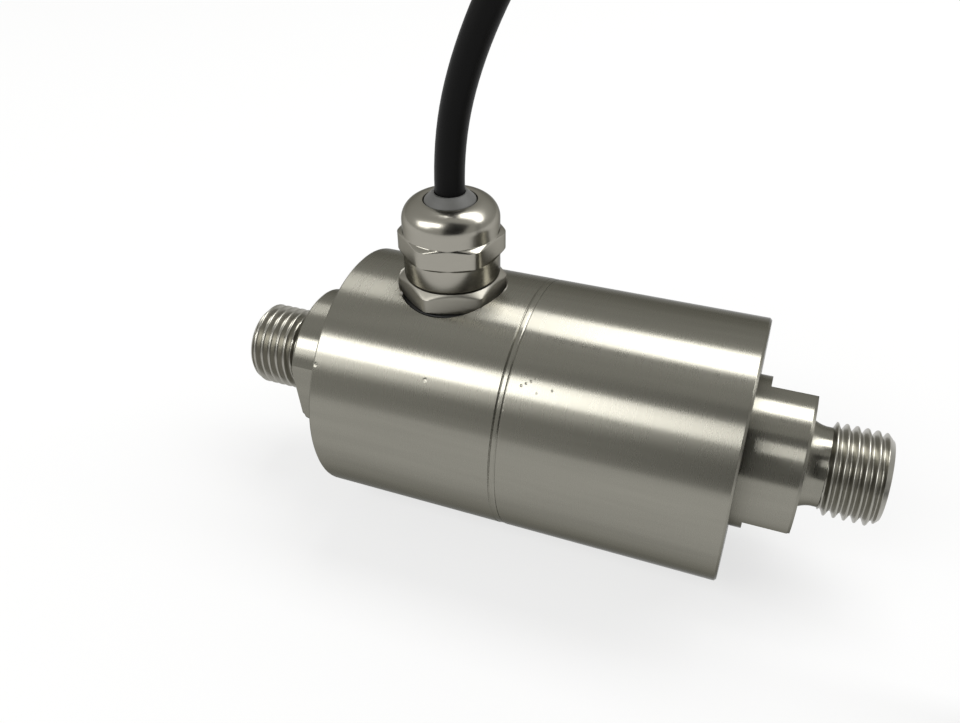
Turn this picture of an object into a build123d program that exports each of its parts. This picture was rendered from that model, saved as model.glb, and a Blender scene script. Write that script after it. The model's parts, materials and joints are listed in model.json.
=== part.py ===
# In-line differential pressure sensor: a turned stainless body with a male pipe thread on each end,
# a measuring cell clamped between the two ports, an amplifier board beside it and a cable gland on top.
# Millimetres. +X runs along the body from the low side to the high side, +Z points up the cable gland.
# The origin is on the ground under the middle of the body, which lies on its side.
import math
import os

from build123d import *

# Body shells
body_diameter = 38.0
body_length = 60.0
rim_chamfer = 0.3
low_shell_wall = 4.0
high_shell_wall = 3.0
end_wall = 3.5
seam_x = -1.54
groove_width = 1.0
groove_depth = 0.3
spigot_length = 3.0
fit_gap = 0.05
cut_over = 1.0

# Ports: collar, relief neck and pipe thread outside, flange and socket inside
collar_diameter = 22.0
collar_length = 8.0
collar_edge = 0.4
flats_width = 19.0
flats_setback = 1.75
low_flats_angle = 96.5
high_flats_angle = 144.4
neck_diameter = 11.3
neck_flare_diameter = 13.0
neck_flare_length = 2.1
neck_length = 3.3
thread_diameter = 13.157
thread_length = 7.5
thread_chamfer = 1.0
thread_start = 0.4
port_bore = 5.0
flange_gap = 1.8
flange_thickness = 3.0
waist_step = 2.5
socket_wall = 1.6
socket_depth = 7.0
socket_floor = 2.0
cavity_depth = 0.8
cavity_edge = 1.8

# Measuring cell, with the room round it for the socket, the board and its chips
cell_room = 6.5
cell_length = 22.0
cell_setback = 21.5
ring_thickness = 0.8
ring_width = 1.4
ring_setback = 0.1
diaphragm_thickness = 0.15
wave_height = 0.25
wave_count = 3
dish_depth = 0.55
o_ring_groove_width = 2.0
o_ring_groove_depth = 1.2
o_ring_side_gap = 0.1
o_ring_setback = 3.0
cell_pocket_diameter = 6.6
cell_pocket_bottom = -1.0
header_thickness = 2.2
header_setback = 0.4
capillary_diameter = 1.0
low_capillary_drop = 2.6
high_capillary_drop = -1.6
fill_hole_diameter = 1.6
fill_hole_offset = 4.4
pedestal_side = 2.4
pedestal_height = 1.6
pedestal_bore = 0.8
die_side = 2.0
die_thickness = 0.5
die_membrane = 0.1
pin_count = 5
pin_diameter = 0.5
pin_circle_radius = 1.9
pin_clearance_above_die = 0.9
bead_diameter = 1.2
pin_protrusion = 0.7

# Amplifier board and what is on it
carrier_length = 13.0
carrier_inset = 0.5
carrier_skirt = 3.3
carrier_end_gap = 0.3
carrier_crown = 0.85
board_length = 20.5
board_side_gap = 0.69
board_thickness = 1.0
board_end_gap = 0.5
board_hole_gap = 0.1
screw_shank_diameter = 1.4
screw_head_diameter = 2.6
screw_head_height = 0.8
screw_floor = 0.5
screw_inset_x = 1.6
screw_inset_y = 2.2
screw_hole_gap = 0.05
converter_size = (5.0, 5.0, 0.9)
amplifier_size = (3.9, 4.9, 1.4)
capacitor_size = (1.6, 0.8, 0.8)
capacitor_pitch = 2.0
capacitor_count = 4
chip_gap = 1.2
board_margin = 2.1

# Cable gland, heights from its seat in the body
gland_x = -14.5
seat_depth = 2.5
seat_diameter = 15.9
seat_edge = 0.3
hex_width = 14.0
body_corner_diameter = 15.7
nut_corner_diameter = 15.4
hex_face_diameter = 13.7
hex_chamfer_height = 0.45
body_facet_angle = -67.5
nut_facet_angle = -71.5
hex_sides = 6
gasket_diameter = 14.8
gasket_thickness = 0.7
body_hex_height = 3.2
gland_thread_diameter = 12.0
gland_thread_length = 4.35
gland_thread_chamfer = 0.5
gland_bore = 6.2
nut_gap = 0.25
nut_skirt_diameter = 13.8
nut_hex_start = 3.3
nut_hex_height = 3.4
dome_height = 2.8
nut_height = 11.15
opening_diameter = 7.5
opening_chamfer = 0.25
nut_inner_relief = 0.4
stem_diameter = 11.6
stem_height = 6.3
claw_diameter = 9.7
claw_seat_height = 2.2
claw_length = 7.1
claw_taper = 1.1
claw_wall = 1.4
finger_count = 8
finger_slot = 0.6
finger_slot_length = 4.2
seal_head_diameter = 7.3
seal_head_height = 2.0
seal_cone_height = 1.15
seal_lip = 0.35

# Cable and its conductors
cable_diameter = 4.2
entry_stub = 1.5
cut_below_thread = 1.0
core_diameter = 0.9
core_offset = 0.5
core_insets = (2.8, 4.9, 4.9, 2.8)
core_drops = (1.6, 2.6, 2.6, 1.6)
core_dip = 0.7
core_low_point = 2.5
core_rise = 0.6
core_past_edge = 0.5
core_before_board = 1.2
core_steps = (0.34, 0.6)
core_fan_shares = (0.5, 0.85)
core_names = ("red", "black", "green", "white")

# Hank of the cable that the view does not show, and its stripped end
hank_left = 89.5
hank_length = 121.8
fold_radius = 12.6
hank_layers = 2
hank_turns_wide = 2
hank_lift = 0.55
hank_edge = 1.6
hank_stub_start = 7.0
tie_width = 3.6
tie_thickness = 0.45
tie_gap = 0.1
tie_offset = -6.0
tie_head = (3.0, 2.2, 5.0)
end_line_y = 4.0
lead_diameter = 1.0
lead_offset = 0.6
lead_fan = (6.2, 4.2, 2.2, 0.2)
lead_run = 16.0
lead_bend_start = (0.2, 0.45, 0.45, 0.2)
lead_bend_share = 0.4
ferrule_diameter = 1.2
ferrule_length = 6.0
sleeve_wall = 0.35
sleeve_length = 6.5

# Worked out from the sizes above
axis_height = body_diameter / 2
body_radius = body_diameter / 2
half_body = body_length / 2
low_bore_radius = body_radius - low_shell_wall
high_bore_radius = body_radius - high_shell_wall
wall_inner_x = half_body - end_wall
flange_radius = low_bore_radius - flange_gap
collar_radius = collar_diameter / 2
port_end_x = half_body + collar_length + neck_length + thread_length
cell_radius = high_bore_radius - cell_room
waist_radius = cell_radius - waist_step
cell_x = wall_inner_x - cell_setback
cell_low_x = cell_x - cell_length / 2
cell_high_x = cell_x + cell_length / 2
socket_inner_radius = cell_radius + fit_gap
socket_outer_radius = socket_inner_radius + socket_wall
ring_stack = ring_thickness + diaphragm_thickness
drum_half = cell_length / 2 - ring_stack
header_top = cell_radius - header_setback
board_bottom = socket_outer_radius + fit_gap + carrier_crown
board_top = board_bottom + board_thickness
board_half = math.sqrt((high_bore_radius - board_side_gap)**2 - board_top**2)
screw_y = board_half - screw_inset_y
screw_depth = board_bottom - math.sqrt(socket_outer_radius**2 - screw_y**2) - screw_floor
board_high_x = wall_inner_x - flange_thickness - board_end_gap
board_low_x = board_high_x - board_length
carrier_high_x = wall_inner_x - flange_thickness - carrier_end_gap
carrier_low_x = carrier_high_x - carrier_length
seat_height = body_radius - seat_depth
gasket_top = seat_height + gasket_thickness
hex_top = gasket_top + body_hex_height
nut_bottom = hex_top + nut_gap
nut_top = nut_bottom + nut_height
thread_bottom = gasket_top - gland_thread_length
claw_bottom = hex_top + claw_seat_height
claw_top = claw_bottom + claw_length
seal_core_radius = claw_diameter / 2 - claw_wall - fit_gap
cable_radius = cable_diameter / 2
exit_height = nut_top + entry_stub
core_start = thread_bottom - cut_below_thread
hank_middle_x = hank_left + hank_length / 2
hank_inner = fold_radius - cable_radius
hank_outer = hank_inner + hank_turns_wide * cable_diameter
hank_height = hank_layers * cable_diameter
right_fold_x = hank_left + hank_length - hank_outer
outer_line = hank_outer - cable_radius
low_layer_height = hank_lift + cable_radius

# Route of the free cable, heights from the ground: up from the gland, over and down beside the body
cable_route = [
    (gland_x, 0.0, exit_height + axis_height),
    (gland_x, 0.0, 59.0),
    (-11.4, 0.0, 71.0),
    (-5.0, 0.2, 84.0),
    (5.5, 0.5, 95.5),
    (20.5, 0.6, 103.0),
    (36.0, 0.0, 101.0),
    (48.0, -1.6, 90.0),
    (54.6, -4.4, 73.0),
    (58.0, -7.8, 55.0),
    (60.0, -11.2, 38.5),
    (64.0, -14.2, 23.0),
    (71.4, -16.0, 12.0),
    (81.0, -16.7, 5.2),
    (89.5, -outer_line, low_layer_height),
    (hank_left + hank_stub_start, -outer_line, low_layer_height),
]

# Route of the cable's last stretch, from the inner turn of the hank to its cut end
end_route = [
    (right_fold_x + 4.6, 13.2, low_layer_height),
    (right_fold_x - 0.3, 12.9, low_layer_height),
    (right_fold_x - 5.9, 11.6, low_layer_height),
    (right_fold_x - 10.6, 8.7, low_layer_height),
    (right_fold_x - 15.2, 5.4, low_layer_height),
    (right_fold_x - 20.2, end_line_y, low_layer_height),
    (right_fold_x - 29.1, end_line_y, low_layer_height),
]


def outline_of(profile):
    """Closed outline through the points of a profile, each taken once."""
    points = [point for index, point in enumerate(profile) if math.dist(point, profile[index - 1]) > 1e-6]
    return Polyline(*points, close=True)


def turned(profile):
    """Solid of revolution about the body's axis, from (along, radius) points."""
    return revolve(make_face(outline_of(profile)), axis=Axis.X)


def turned_upright(profile):
    """Solid of revolution about the gland's axis, from (radius, height) points."""
    section = Plane.XZ * make_face(outline_of(profile))
    return Pos(gland_x, 0, 0) * revolve(section, axis=Axis.Z)


def mirrored(profile, side):
    """Profile for the high side (+1) or the low side (-1)."""
    return [(side * along, radius) for along, radius in profile]


def rod_x(radius, x_from, x_to, y=0.0, z=0.0):
    """Round rod along X."""
    length = x_to - x_from
    return Pos((x_from + x_to) / 2, y, z) * Rot(0, 90, 0) * Cylinder(radius, length)


def rod_z(radius, z_from, z_to, x=0.0, y=0.0):
    """Round rod along Z."""
    return Pos(x, y, (z_from + z_to) / 2) * Cylinder(radius, z_to - z_from)


def block(x_range, y_range, z_range):
    """Box between two corners."""
    sizes = [high - low for low, high in (x_range, y_range, z_range)]
    middle = [(high + low) / 2 for low, high in (x_range, y_range, z_range)]
    return Pos(*middle) * Box(*sizes)


def arc_radii(route):
    """Largest radius that each corner of a route leaves room for."""
    radii = []
    for before, corner, after in zip(route, route[1:], route[2:]):
        run_in = Vector(*corner) - Vector(*before)
        run_out = Vector(*after) - Vector(*corner)
        half_turn = math.radians(run_in.get_angle(run_out)) / 2
        shorter = min(run_in.length, run_out.length)
        radii.append(0.45 * shorter / math.tan(half_turn))
    return radii


def tube(route, radius, label):
    """Round tube along straight runs joined by arcs."""
    radii = arc_radii(route)
    path = FilletPolyline(*route, radius=radii)
    direction = Vector(*route[1]) - Vector(*route[0])
    section = Plane(origin=route[0], z_dir=direction) * Circle(radius)
    solid = sweep(section, path=path)
    expected = math.pi * radius**2 * path.length
    print(label, "length", round(path.length, 1), "radii", [round(r, 1) for r in radii],
          "volume over section times length", round(solid.volume / expected, 5))
    return solid


# Body shells

def gland_seat():
    """Counterbore for the gasket, the threaded hole under it and the eased edge round it."""
    radius = seat_diameter / 2
    return turned_upright([
        (0, 0),
        (gland_thread_diameter / 2 + fit_gap, 0),
        (gland_thread_diameter / 2 + fit_gap, seat_height),
        (radius, seat_height),
        (radius, body_radius - seat_edge),
        (radius + seat_edge, body_radius),
        (radius + seat_edge, body_radius + cut_over),
        (0, body_radius + cut_over),
    ])


def housing_low_side():
    """Low side shell, with the gland's seat and the spigot that centres the other shell."""
    groove_radius = body_radius - groove_depth
    shell = turned([
        (-half_body, collar_radius + fit_gap),
        (-half_body, body_radius - rim_chamfer),
        (-half_body + rim_chamfer, body_radius),
        (seam_x - groove_width / 2, body_radius),
        (seam_x - groove_width / 2, groove_radius),
        (seam_x, groove_radius),
        (seam_x, high_bore_radius - fit_gap),
        (seam_x + spigot_length, high_bore_radius - fit_gap),
        (seam_x + spigot_length, low_bore_radius),
        (-wall_inner_x, low_bore_radius),
        (-wall_inner_x, collar_radius + fit_gap),
    ])
    return shell - gland_seat()


def housing_high_side():
    """High side shell."""
    groove_radius = body_radius - groove_depth
    return turned([
        (seam_x, high_bore_radius),
        (seam_x, groove_radius),
        (seam_x + groove_width / 2, groove_radius),
        (seam_x + groove_width / 2, body_radius),
        (half_body - rim_chamfer, body_radius),
        (half_body, body_radius - rim_chamfer),
        (half_body, collar_radius + fit_gap),
        (wall_inner_x, collar_radius + fit_gap),
        (wall_inner_x, high_bore_radius),
    ])


# Ports

def wrench_flats(side, angle):
    """Stock that the two wrench flats take off a collar."""
    start = half_body + flats_setback
    length = port_end_x - start
    depth = collar_radius - flats_width / 2
    offset = flats_width / 2 + depth
    cutter = Pos(0, 0, offset) * Box(length, collar_diameter, 2 * depth)
    pair = cutter + Rot(180, 0, 0) * cutter
    return Pos(side * (start + length / 2), 0, 0) * Rot(angle, 0, 0) * pair


def port(side, cell_end, neck_down_radius, angle):
    """One port, turned in one piece: socket and flange inside, collar, neck and thread outside."""
    reach = side * cell_end
    collar_end = half_body + collar_length
    neck_end = collar_end + neck_length
    thread_radius = thread_diameter / 2
    neck_radius = neck_diameter / 2
    bore = port_bore / 2
    cavity_radius = cell_radius - cavity_edge
    body = turned(mirrored([
        (reach - socket_depth, socket_inner_radius),
        (reach - socket_depth, socket_outer_radius),
        (reach + socket_floor, socket_outer_radius),
        (reach + socket_floor, neck_down_radius),
        (wall_inner_x - flange_thickness, neck_down_radius),
        (wall_inner_x - flange_thickness, flange_radius),
        (wall_inner_x, flange_radius),
        (wall_inner_x, collar_radius),
        (collar_end - collar_edge, collar_radius),
        (collar_end, collar_radius - collar_edge),
        (collar_end, neck_flare_diameter / 2),
        (collar_end + neck_flare_length, neck_radius),
        (neck_end - thread_start, neck_radius),
        (neck_end, thread_radius),
        (port_end_x - thread_chamfer, thread_radius),
        (port_end_x, thread_radius - thread_chamfer),
        (port_end_x, bore),
        (reach + cavity_depth, bore),
        (reach + cavity_depth, cavity_radius),
        (reach, cavity_radius),
        (reach, socket_inner_radius),
    ], side))
    return body - wrench_flats(side, angle)


# Measuring cell

def o_ring_start():
    """Distance from the cell's middle to the near side of an O-ring groove."""
    return drum_half - o_ring_setback - o_ring_groove_width / 2


def cell_body():
    """Drum with an O-ring groove and a shallow dish at each end, and drillings for the oil."""
    groove_radius = cell_radius - o_ring_groove_depth
    dish_radius = cell_radius - ring_setback - ring_width
    start = o_ring_start()
    half = [
        (start, cell_radius),
        (start, groove_radius),
        (start + o_ring_groove_width, groove_radius),
        (start + o_ring_groove_width, cell_radius),
        (drum_half, cell_radius),
        (drum_half, dish_radius),
        (drum_half - dish_depth, dish_radius),
        (drum_half - dish_depth, 0),
    ]
    drum = turned([(-along, radius) for along, radius in half] + list(reversed(half)))
    drum -= rod_z(cell_pocket_diameter / 2, cell_pocket_bottom, cell_radius + cut_over)
    bore = capillary_diameter / 2
    drum -= rod_x(bore, 0, drum_half, z=-high_capillary_drop)
    drum -= rod_x(bore, -drum_half, bore, z=-low_capillary_drop)
    drum -= rod_z(bore, -low_capillary_drop, cell_pocket_bottom + bore)
    for offset, drop in ((-fill_hole_offset, low_capillary_drop), (fill_hole_offset, high_capillary_drop)):
        drum -= rod_z(fill_hole_diameter / 2, -cell_radius - cut_over, -drop, x=offset)
    return Pos(cell_x, 0, 0) * drum


def fill_balls():
    """Steel balls that close the two oil filling holes."""
    radius = fill_hole_diameter / 2 - fit_gap
    height = -cell_radius + o_ring_groove_depth
    return [Pos(cell_x + offset, 0, height) * Sphere(radius)
            for offset in (-fill_hole_offset, fill_hole_offset)]


def diaphragm(side):
    """Corrugated separating diaphragm: a flat rim round even waves."""
    rim_radius = cell_radius - ring_setback
    wave_radius = rim_radius - ring_width
    step = wave_radius / (2 * wave_count + 1)
    crest = [(drum_half, rim_radius)]
    for index in range(2 * wave_count + 1):
        lift = wave_height if index % 2 else 0.0
        crest.append((drum_half - lift, wave_radius - index * step))
    crest.append((crest[-1][0], 0))
    back = [(along + diaphragm_thickness, radius) for along, radius in reversed(crest)]
    return Pos(cell_x, 0, 0) * turned(mirrored(crest + back, side))


def diaphragm_ring(side):
    """Weld ring that holds the diaphragm's rim on the drum."""
    outer = cell_radius - ring_setback
    start = drum_half + diaphragm_thickness
    return Pos(cell_x, 0, 0) * turned(mirrored([
        (start, outer - ring_width),
        (start, outer),
        (start + ring_thickness, outer),
        (start + ring_thickness, outer - ring_width),
    ], side))


def cell_o_ring(side):
    """O-ring as it is squeezed between its groove and the socket."""
    inner = cell_radius - o_ring_groove_depth + o_ring_side_gap / 2
    outer = socket_inner_radius - o_ring_side_gap / 2
    start = o_ring_start() + o_ring_side_gap
    end = o_ring_start() + o_ring_groove_width - o_ring_side_gap
    corner = (outer - inner) / 4
    return Pos(cell_x, 0, 0) * turned(mirrored([
        (start + corner, inner),
        (start, inner + corner),
        (start, outer - corner),
        (start + corner, outer),
        (end - corner, outer),
        (end, outer - corner),
        (end, inner + corner),
        (end - corner, inner),
    ], side))


def pin_places():
    """Places of the contact pins on their circle."""
    places = []
    for index in range(pin_count):
        angle = 2 * math.pi * index / pin_count
        places.append((cell_x + pin_circle_radius * math.cos(angle), pin_circle_radius * math.sin(angle)))
    return places


def cell_header():
    """Metal lid of the cell's pocket, with a hole for each glass bead."""
    bottom = header_top - header_thickness
    lid = rod_z(cell_pocket_diameter / 2 - fit_gap, bottom, header_top, x=cell_x)
    for x, y in pin_places():
        lid -= rod_z(bead_diameter / 2, bottom - cut_over, header_top + cut_over, x, y)
    return lid


def header_glass_beads():
    """Glass beads that hold and insulate the pins."""
    bottom = header_top - header_thickness
    beads = []
    for x, y in pin_places():
        bead = rod_z(bead_diameter / 2, bottom, header_top, x, y)
        beads.append(bead - rod_z(pin_diameter / 2, bottom - cut_over, header_top + cut_over, x, y))
    return beads


def die_top():
    """Height of the silicon die's upper face."""
    return cell_pocket_bottom + pedestal_height + die_thickness


def header_pins():
    """Contact pins from above the die up through the board."""
    start = die_top() + pin_clearance_above_die
    return [rod_z(pin_diameter / 2, start, board_top + pin_protrusion, x, y) for x, y in pin_places()]


def die_pedestal():
    """Glass block under the die, bored for the low side pressure."""
    half = pedestal_side / 2
    top = cell_pocket_bottom + pedestal_height
    solid = block((cell_x - half, cell_x + half), (-half, half), (cell_pocket_bottom, top))
    return solid - rod_z(pedestal_bore / 2, cell_pocket_bottom - cut_over, top + cut_over, x=cell_x)


def sensor_die():
    """Silicon die with its membrane etched from below."""
    half = die_side / 2
    bottom = cell_pocket_bottom + pedestal_height
    solid = block((cell_x - half, cell_x + half), (-half, half), (bottom, die_top()))
    etched = die_thickness - die_membrane
    return solid - Pos(cell_x, 0, bottom + etched / 2) * Box(pedestal_bore, pedestal_bore, etched)


# Amplifier board

def screw_places():
    """Places of the board's screws."""
    columns = (carrier_low_x + screw_inset_x, carrier_high_x - screw_inset_x)
    return [(x, y) for x in columns for y in (-screw_y, screw_y)]


def board_carrier():
    """Moulded saddle between the high side socket and the board."""
    half = board_half - carrier_inset
    skirt_bottom = board_bottom - carrier_skirt
    hole_radius = screw_shank_diameter / 2 + screw_hole_gap
    solid = block((carrier_low_x, carrier_high_x), (-half, half), (skirt_bottom, board_bottom))
    solid -= rod_x(socket_outer_radius + fit_gap, carrier_low_x - cut_over, carrier_high_x + cut_over)
    for x, y in screw_places():
        solid -= rod_z(hole_radius, board_bottom - screw_depth, board_bottom, x, y)
    return solid


def amplifier_board():
    """Circuit board with holes for the contact pins and the screws."""
    solid = block((board_low_x, board_high_x), (-board_half, board_half), (board_bottom, board_top))
    below = board_bottom - cut_over
    above = board_top + cut_over
    for x, y in pin_places():
        solid -= rod_z(pin_diameter / 2 + board_hole_gap, below, above, x, y)
    for x, y in screw_places():
        solid -= rod_z(screw_shank_diameter / 2 + screw_hole_gap, below, above, x, y)
    return solid


def board_screws():
    """Pan head screws of the board."""
    screws = []
    tip = board_bottom - screw_depth
    for x, y in screw_places():
        shank = rod_z(screw_shank_diameter / 2, tip, board_top, x, y)
        screws.append(shank + rod_z(screw_head_diameter / 2, board_top, board_top + screw_head_height, x, y))
    return screws


def on_board(size, x):
    """Flat part of a given size that lies on the board's middle line."""
    length, width, height = size
    return block((x - length / 2, x + length / 2), (-width / 2, width / 2), (board_top, board_top + height))


def capacitor_place():
    """Middle of the row of capacitors along X, near the board's high side end."""
    return board_high_x - board_margin - capacitor_size[1] / 2


def amplifier_place():
    """Middle of the amplifier chip along X."""
    return capacitor_place() - capacitor_size[1] / 2 - chip_gap / 2 - amplifier_size[0] / 2


def converter_place():
    """Middle of the converter chip along X."""
    return amplifier_place() - amplifier_size[0] / 2 - chip_gap - converter_size[0] / 2


def board_capacitors():
    """Row of ceramic capacitors across the board, past the amplifier chip."""
    length, width, height = capacitor_size
    x = capacitor_place()
    first = -capacitor_pitch * (capacitor_count - 1) / 2
    parts = []
    for index in range(capacitor_count):
        y = first + index * capacitor_pitch
        parts.append(block((x - width / 2, x + width / 2), (y - length / 2, y + length / 2),
                           (board_top, board_top + height)))
    return parts


# Cable gland

def hexagon(bottom, top, facet_angle, corner_diameter):
    """Hexagon with one facet facing an angle, its corners chamfered on top and below."""
    first_corner = facet_angle + 180 / hex_sides
    across = RegularPolygon(hex_width / 2, hex_sides, major_radius=False, rotation=first_corner)
    solid = Pos(gland_x, 0, bottom) * extrude(across, top - bottom)
    corner = corner_diameter / 2
    face = hex_face_diameter / 2
    limit = turned_upright([
        (0, bottom),
        (face, bottom),
        (corner, bottom + hex_chamfer_height),
        (corner, top - hex_chamfer_height),
        (face, top),
        (0, top),
    ])
    return solid & limit


def gland_body():
    """Gland body: thread in the shell, hexagon on the gasket, stem for the nut and the claw."""
    thread_radius = gland_thread_diameter / 2
    stem_radius = stem_diameter / 2
    stem_top = hex_top + stem_height
    core = turned_upright([
        (0, thread_bottom),
        (thread_radius - gland_thread_chamfer, thread_bottom),
        (thread_radius, thread_bottom + gland_thread_chamfer),
        (thread_radius, gasket_top),
        (stem_radius, gasket_top),
        (stem_radius, stem_top),
        (0, stem_top),
    ])
    claw_radius = claw_diameter / 2 + fit_gap
    bored = turned_upright([
        (0, thread_bottom - cut_over),
        (gland_bore / 2, thread_bottom - cut_over),
        (gland_bore / 2, claw_bottom),
        (claw_radius, claw_bottom),
        (claw_radius, stem_top + cut_over),
        (0, stem_top + cut_over),
    ])
    return core + hexagon(gasket_top, hex_top, body_facet_angle, body_corner_diameter) - bored


def gland_gasket():
    """Flat black gasket between the hexagon and the shell."""
    return turned_upright([
        (gland_thread_diameter / 2 + fit_gap, seat_height),
        (gasket_diameter / 2, seat_height),
        (gasket_diameter / 2, gasket_top),
        (gland_thread_diameter / 2 + fit_gap, gasket_top),
    ])


def gland_claw():
    """Clamping claw: a ring whose upper part is slotted into fingers with tapered tips."""
    outer = claw_diameter / 2
    inner = outer - claw_wall
    ring = turned_upright([
        (inner, claw_bottom),
        (outer, claw_bottom),
        (outer, claw_top - claw_taper),
        (outer - claw_taper, claw_top),
        (inner, claw_top),
    ])
    slot = Pos(outer, 0, claw_top) * Box(2 * outer, finger_slot, 2 * finger_slot_length)
    for index in range(finger_count):
        ring -= Pos(gland_x, 0, 0) * Rot(0, 0, index * 360 / finger_count) * slot
    return ring


def gland_seal():
    """Rubber seal: a sleeve inside the claw with a head that shows in the nut's opening."""
    head = seal_head_diameter / 2
    inner = cable_radius + fit_gap
    head_top = claw_top + fit_gap + seal_head_height
    return turned_upright([
        (inner, claw_bottom),
        (seal_core_radius, claw_bottom),
        (seal_core_radius, claw_top + fit_gap),
        (head, claw_top + fit_gap),
        (head, head_top),
        (inner + seal_lip, head_top + seal_cone_height),
        (inner, head_top + seal_cone_height),
    ])


def gland_nut():
    """Cap nut: skirt, hexagon and dome outside, thread and cone inside, round opening on top."""
    skirt = nut_skirt_diameter / 2
    shoulder = nut_top - dome_height
    rim = opening_diameter / 2 + opening_chamfer
    side_line = Polyline((0, nut_bottom), (skirt, nut_bottom), (skirt, shoulder))
    bend = TangentArc((skirt, shoulder), (rim, nut_top), tangent=(0, 1))
    top_line = Polyline((rim, nut_top), (0, nut_top), (0, nut_bottom))
    outline = Plane.XZ * make_face([side_line, bend, top_line])
    outside = Pos(gland_x, 0, 0) * revolve(outline, axis=Axis.Z)
    hex_bottom = nut_bottom + nut_hex_start
    outside += hexagon(hex_bottom, hex_bottom + nut_hex_height, nut_facet_angle, nut_corner_diameter)
    thread_radius = stem_diameter / 2 + fit_gap
    stem_top = hex_top + stem_height
    cone_bottom = claw_top - claw_taper + fit_gap
    head_bottom = claw_top + fit_gap
    inside = turned_upright([
        (0, nut_bottom - cut_over),
        (thread_radius, nut_bottom - cut_over),
        (thread_radius, stem_top + nut_inner_relief),
        (claw_diameter / 2 + 2 * fit_gap, cone_bottom),
        (opening_diameter / 2, head_bottom + nut_inner_relief),
        (opening_diameter / 2, nut_top - opening_chamfer),
        (rim, nut_top),
        (rim, nut_top + cut_over),
        (0, nut_top + cut_over),
    ])
    return outside - inside


# Cable inside the sensor

def cable_entry():
    """Cable through the gland, from where its sheath is cut to just above the nut."""
    return rod_z(cable_radius, core_start, exit_height, x=gland_x)


def core_route(index):
    """Route of one conductor, from the cut sheath under the socket's edge and up to its pad."""
    side = -1 if index < 2 else 1
    side_y = side * (board_half - core_insets[index])
    drop = core_drops[index]
    offset_x = -core_offset if index in (1, 2) else core_offset
    offset_y = side * core_offset
    edge_x = cell_low_x - socket_floor
    first_step, second_step = [share * (edge_x - gland_x) for share in core_steps]
    first_fan, second_fan = [share * side_y for share in core_fan_shares]
    over_board = board_top + core_diameter / 2 + fit_gap
    pad_x = converter_place() - converter_size[0] / 2 - chip_gap
    return [
        (gland_x + offset_x, offset_y, core_start),
        (gland_x + offset_x, offset_y, core_start - drop),
        (gland_x + first_step, first_fan - offset_y, core_start - drop - core_dip),
        (gland_x + second_step, second_fan, core_start - core_low_point),
        (edge_x + core_past_edge, side_y, socket_outer_radius + core_diameter / 2 + core_rise),
        (board_low_x - core_before_board, side_y, over_board),
        (pad_x, side_y, over_board),
    ]


# Hank and stripped end of the cable

def hank_slot(offset, height):
    """Rounded slot outline of the hank at an offset from its inner edge, extruded."""
    width = 2 * (hank_inner + offset)
    length = hank_length - 2 * (hank_outer - hank_inner - offset)
    slot = Pos(hank_middle_x, 0, hank_lift) * SlotOverall(length, width)
    return extrude(slot, height)


def cable_hank():
    """Outer shape of the hank: an oval ring with the straight stretch that leads into it."""
    outer = hank_slot(hank_outer - hank_inner, hank_height)
    outer = chamfer(outer.edges().group_by(Axis.Z)[0] + outer.edges().group_by(Axis.Z)[-1], hank_edge)
    ring = outer - hank_slot(0, hank_height)
    lead_in = rod_x(cable_radius, hank_left + hank_stub_start, hank_left + hank_outer,
                    -outer_line, low_layer_height)
    return ring + lead_in


def hank_ties():
    """Two ties, one round each long side of the hank."""
    inner_y = hank_inner - tie_gap
    outer_y = hank_outer + tie_gap
    bottom = hank_lift - tie_gap
    top = hank_lift + hank_height + tie_gap
    x = hank_middle_x + tie_offset
    along = (x - tie_width / 2, x + tie_width / 2)
    band = block(along, (inner_y - tie_thickness, outer_y + tie_thickness),
                 (bottom - tie_thickness, top + tie_thickness))
    band -= block((along[0] - cut_over, along[1] + cut_over), (inner_y, outer_y), (bottom, top))
    head_y = (inner_y + outer_y) / 2
    length, height, width = tie_head
    head = block((x - length / 2, x + length / 2), (head_y - width / 2, head_y + width / 2),
                 (top + tie_thickness, top + tie_thickness + height))
    tie = band + head
    return [tie, mirror(tie, about=Plane.XZ)]


def end_sleeve():
    """Shrink sleeve over the cable's cut end."""
    x_end = end_route[-1][0]
    inner = cable_radius + fit_gap
    tube_wall = rod_x(inner + sleeve_wall, x_end, x_end + sleeve_length, end_line_y, low_layer_height)
    bore = rod_x(inner, x_end - cut_over, x_end + sleeve_length + cut_over, end_line_y, low_layer_height)
    return tube_wall - bore


def lead_route(index):
    """Route of one stripped lead, from the sheath's end out to its ferrule."""
    x_start = end_route[-1][0]
    offset_y = lead_offset if index < 2 else -lead_offset
    offset_z = lead_offset if index in (1, 2) else -lead_offset
    rest_height = ferrule_diameter / 2
    bend_from = lead_bend_start[index] * lead_run
    bend_to = bend_from + lead_bend_share * lead_run
    return [
        (x_start, end_line_y + offset_y, low_layer_height + offset_z),
        (x_start - bend_from, end_line_y + offset_y, low_layer_height + offset_z),
        (x_start - bend_to, lead_fan[index], rest_height),
        (x_start - lead_run, lead_fan[index], rest_height),
    ]


def lead_ferrules():
    """Crimped ferrules on the ends of the leads."""
    parts = []
    for index in range(len(core_names)):
        x, y, z = lead_route(index)[-1]
        parts.append(rod_x(ferrule_diameter / 2, x - ferrule_length, x, y, z))
    return parts


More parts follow.
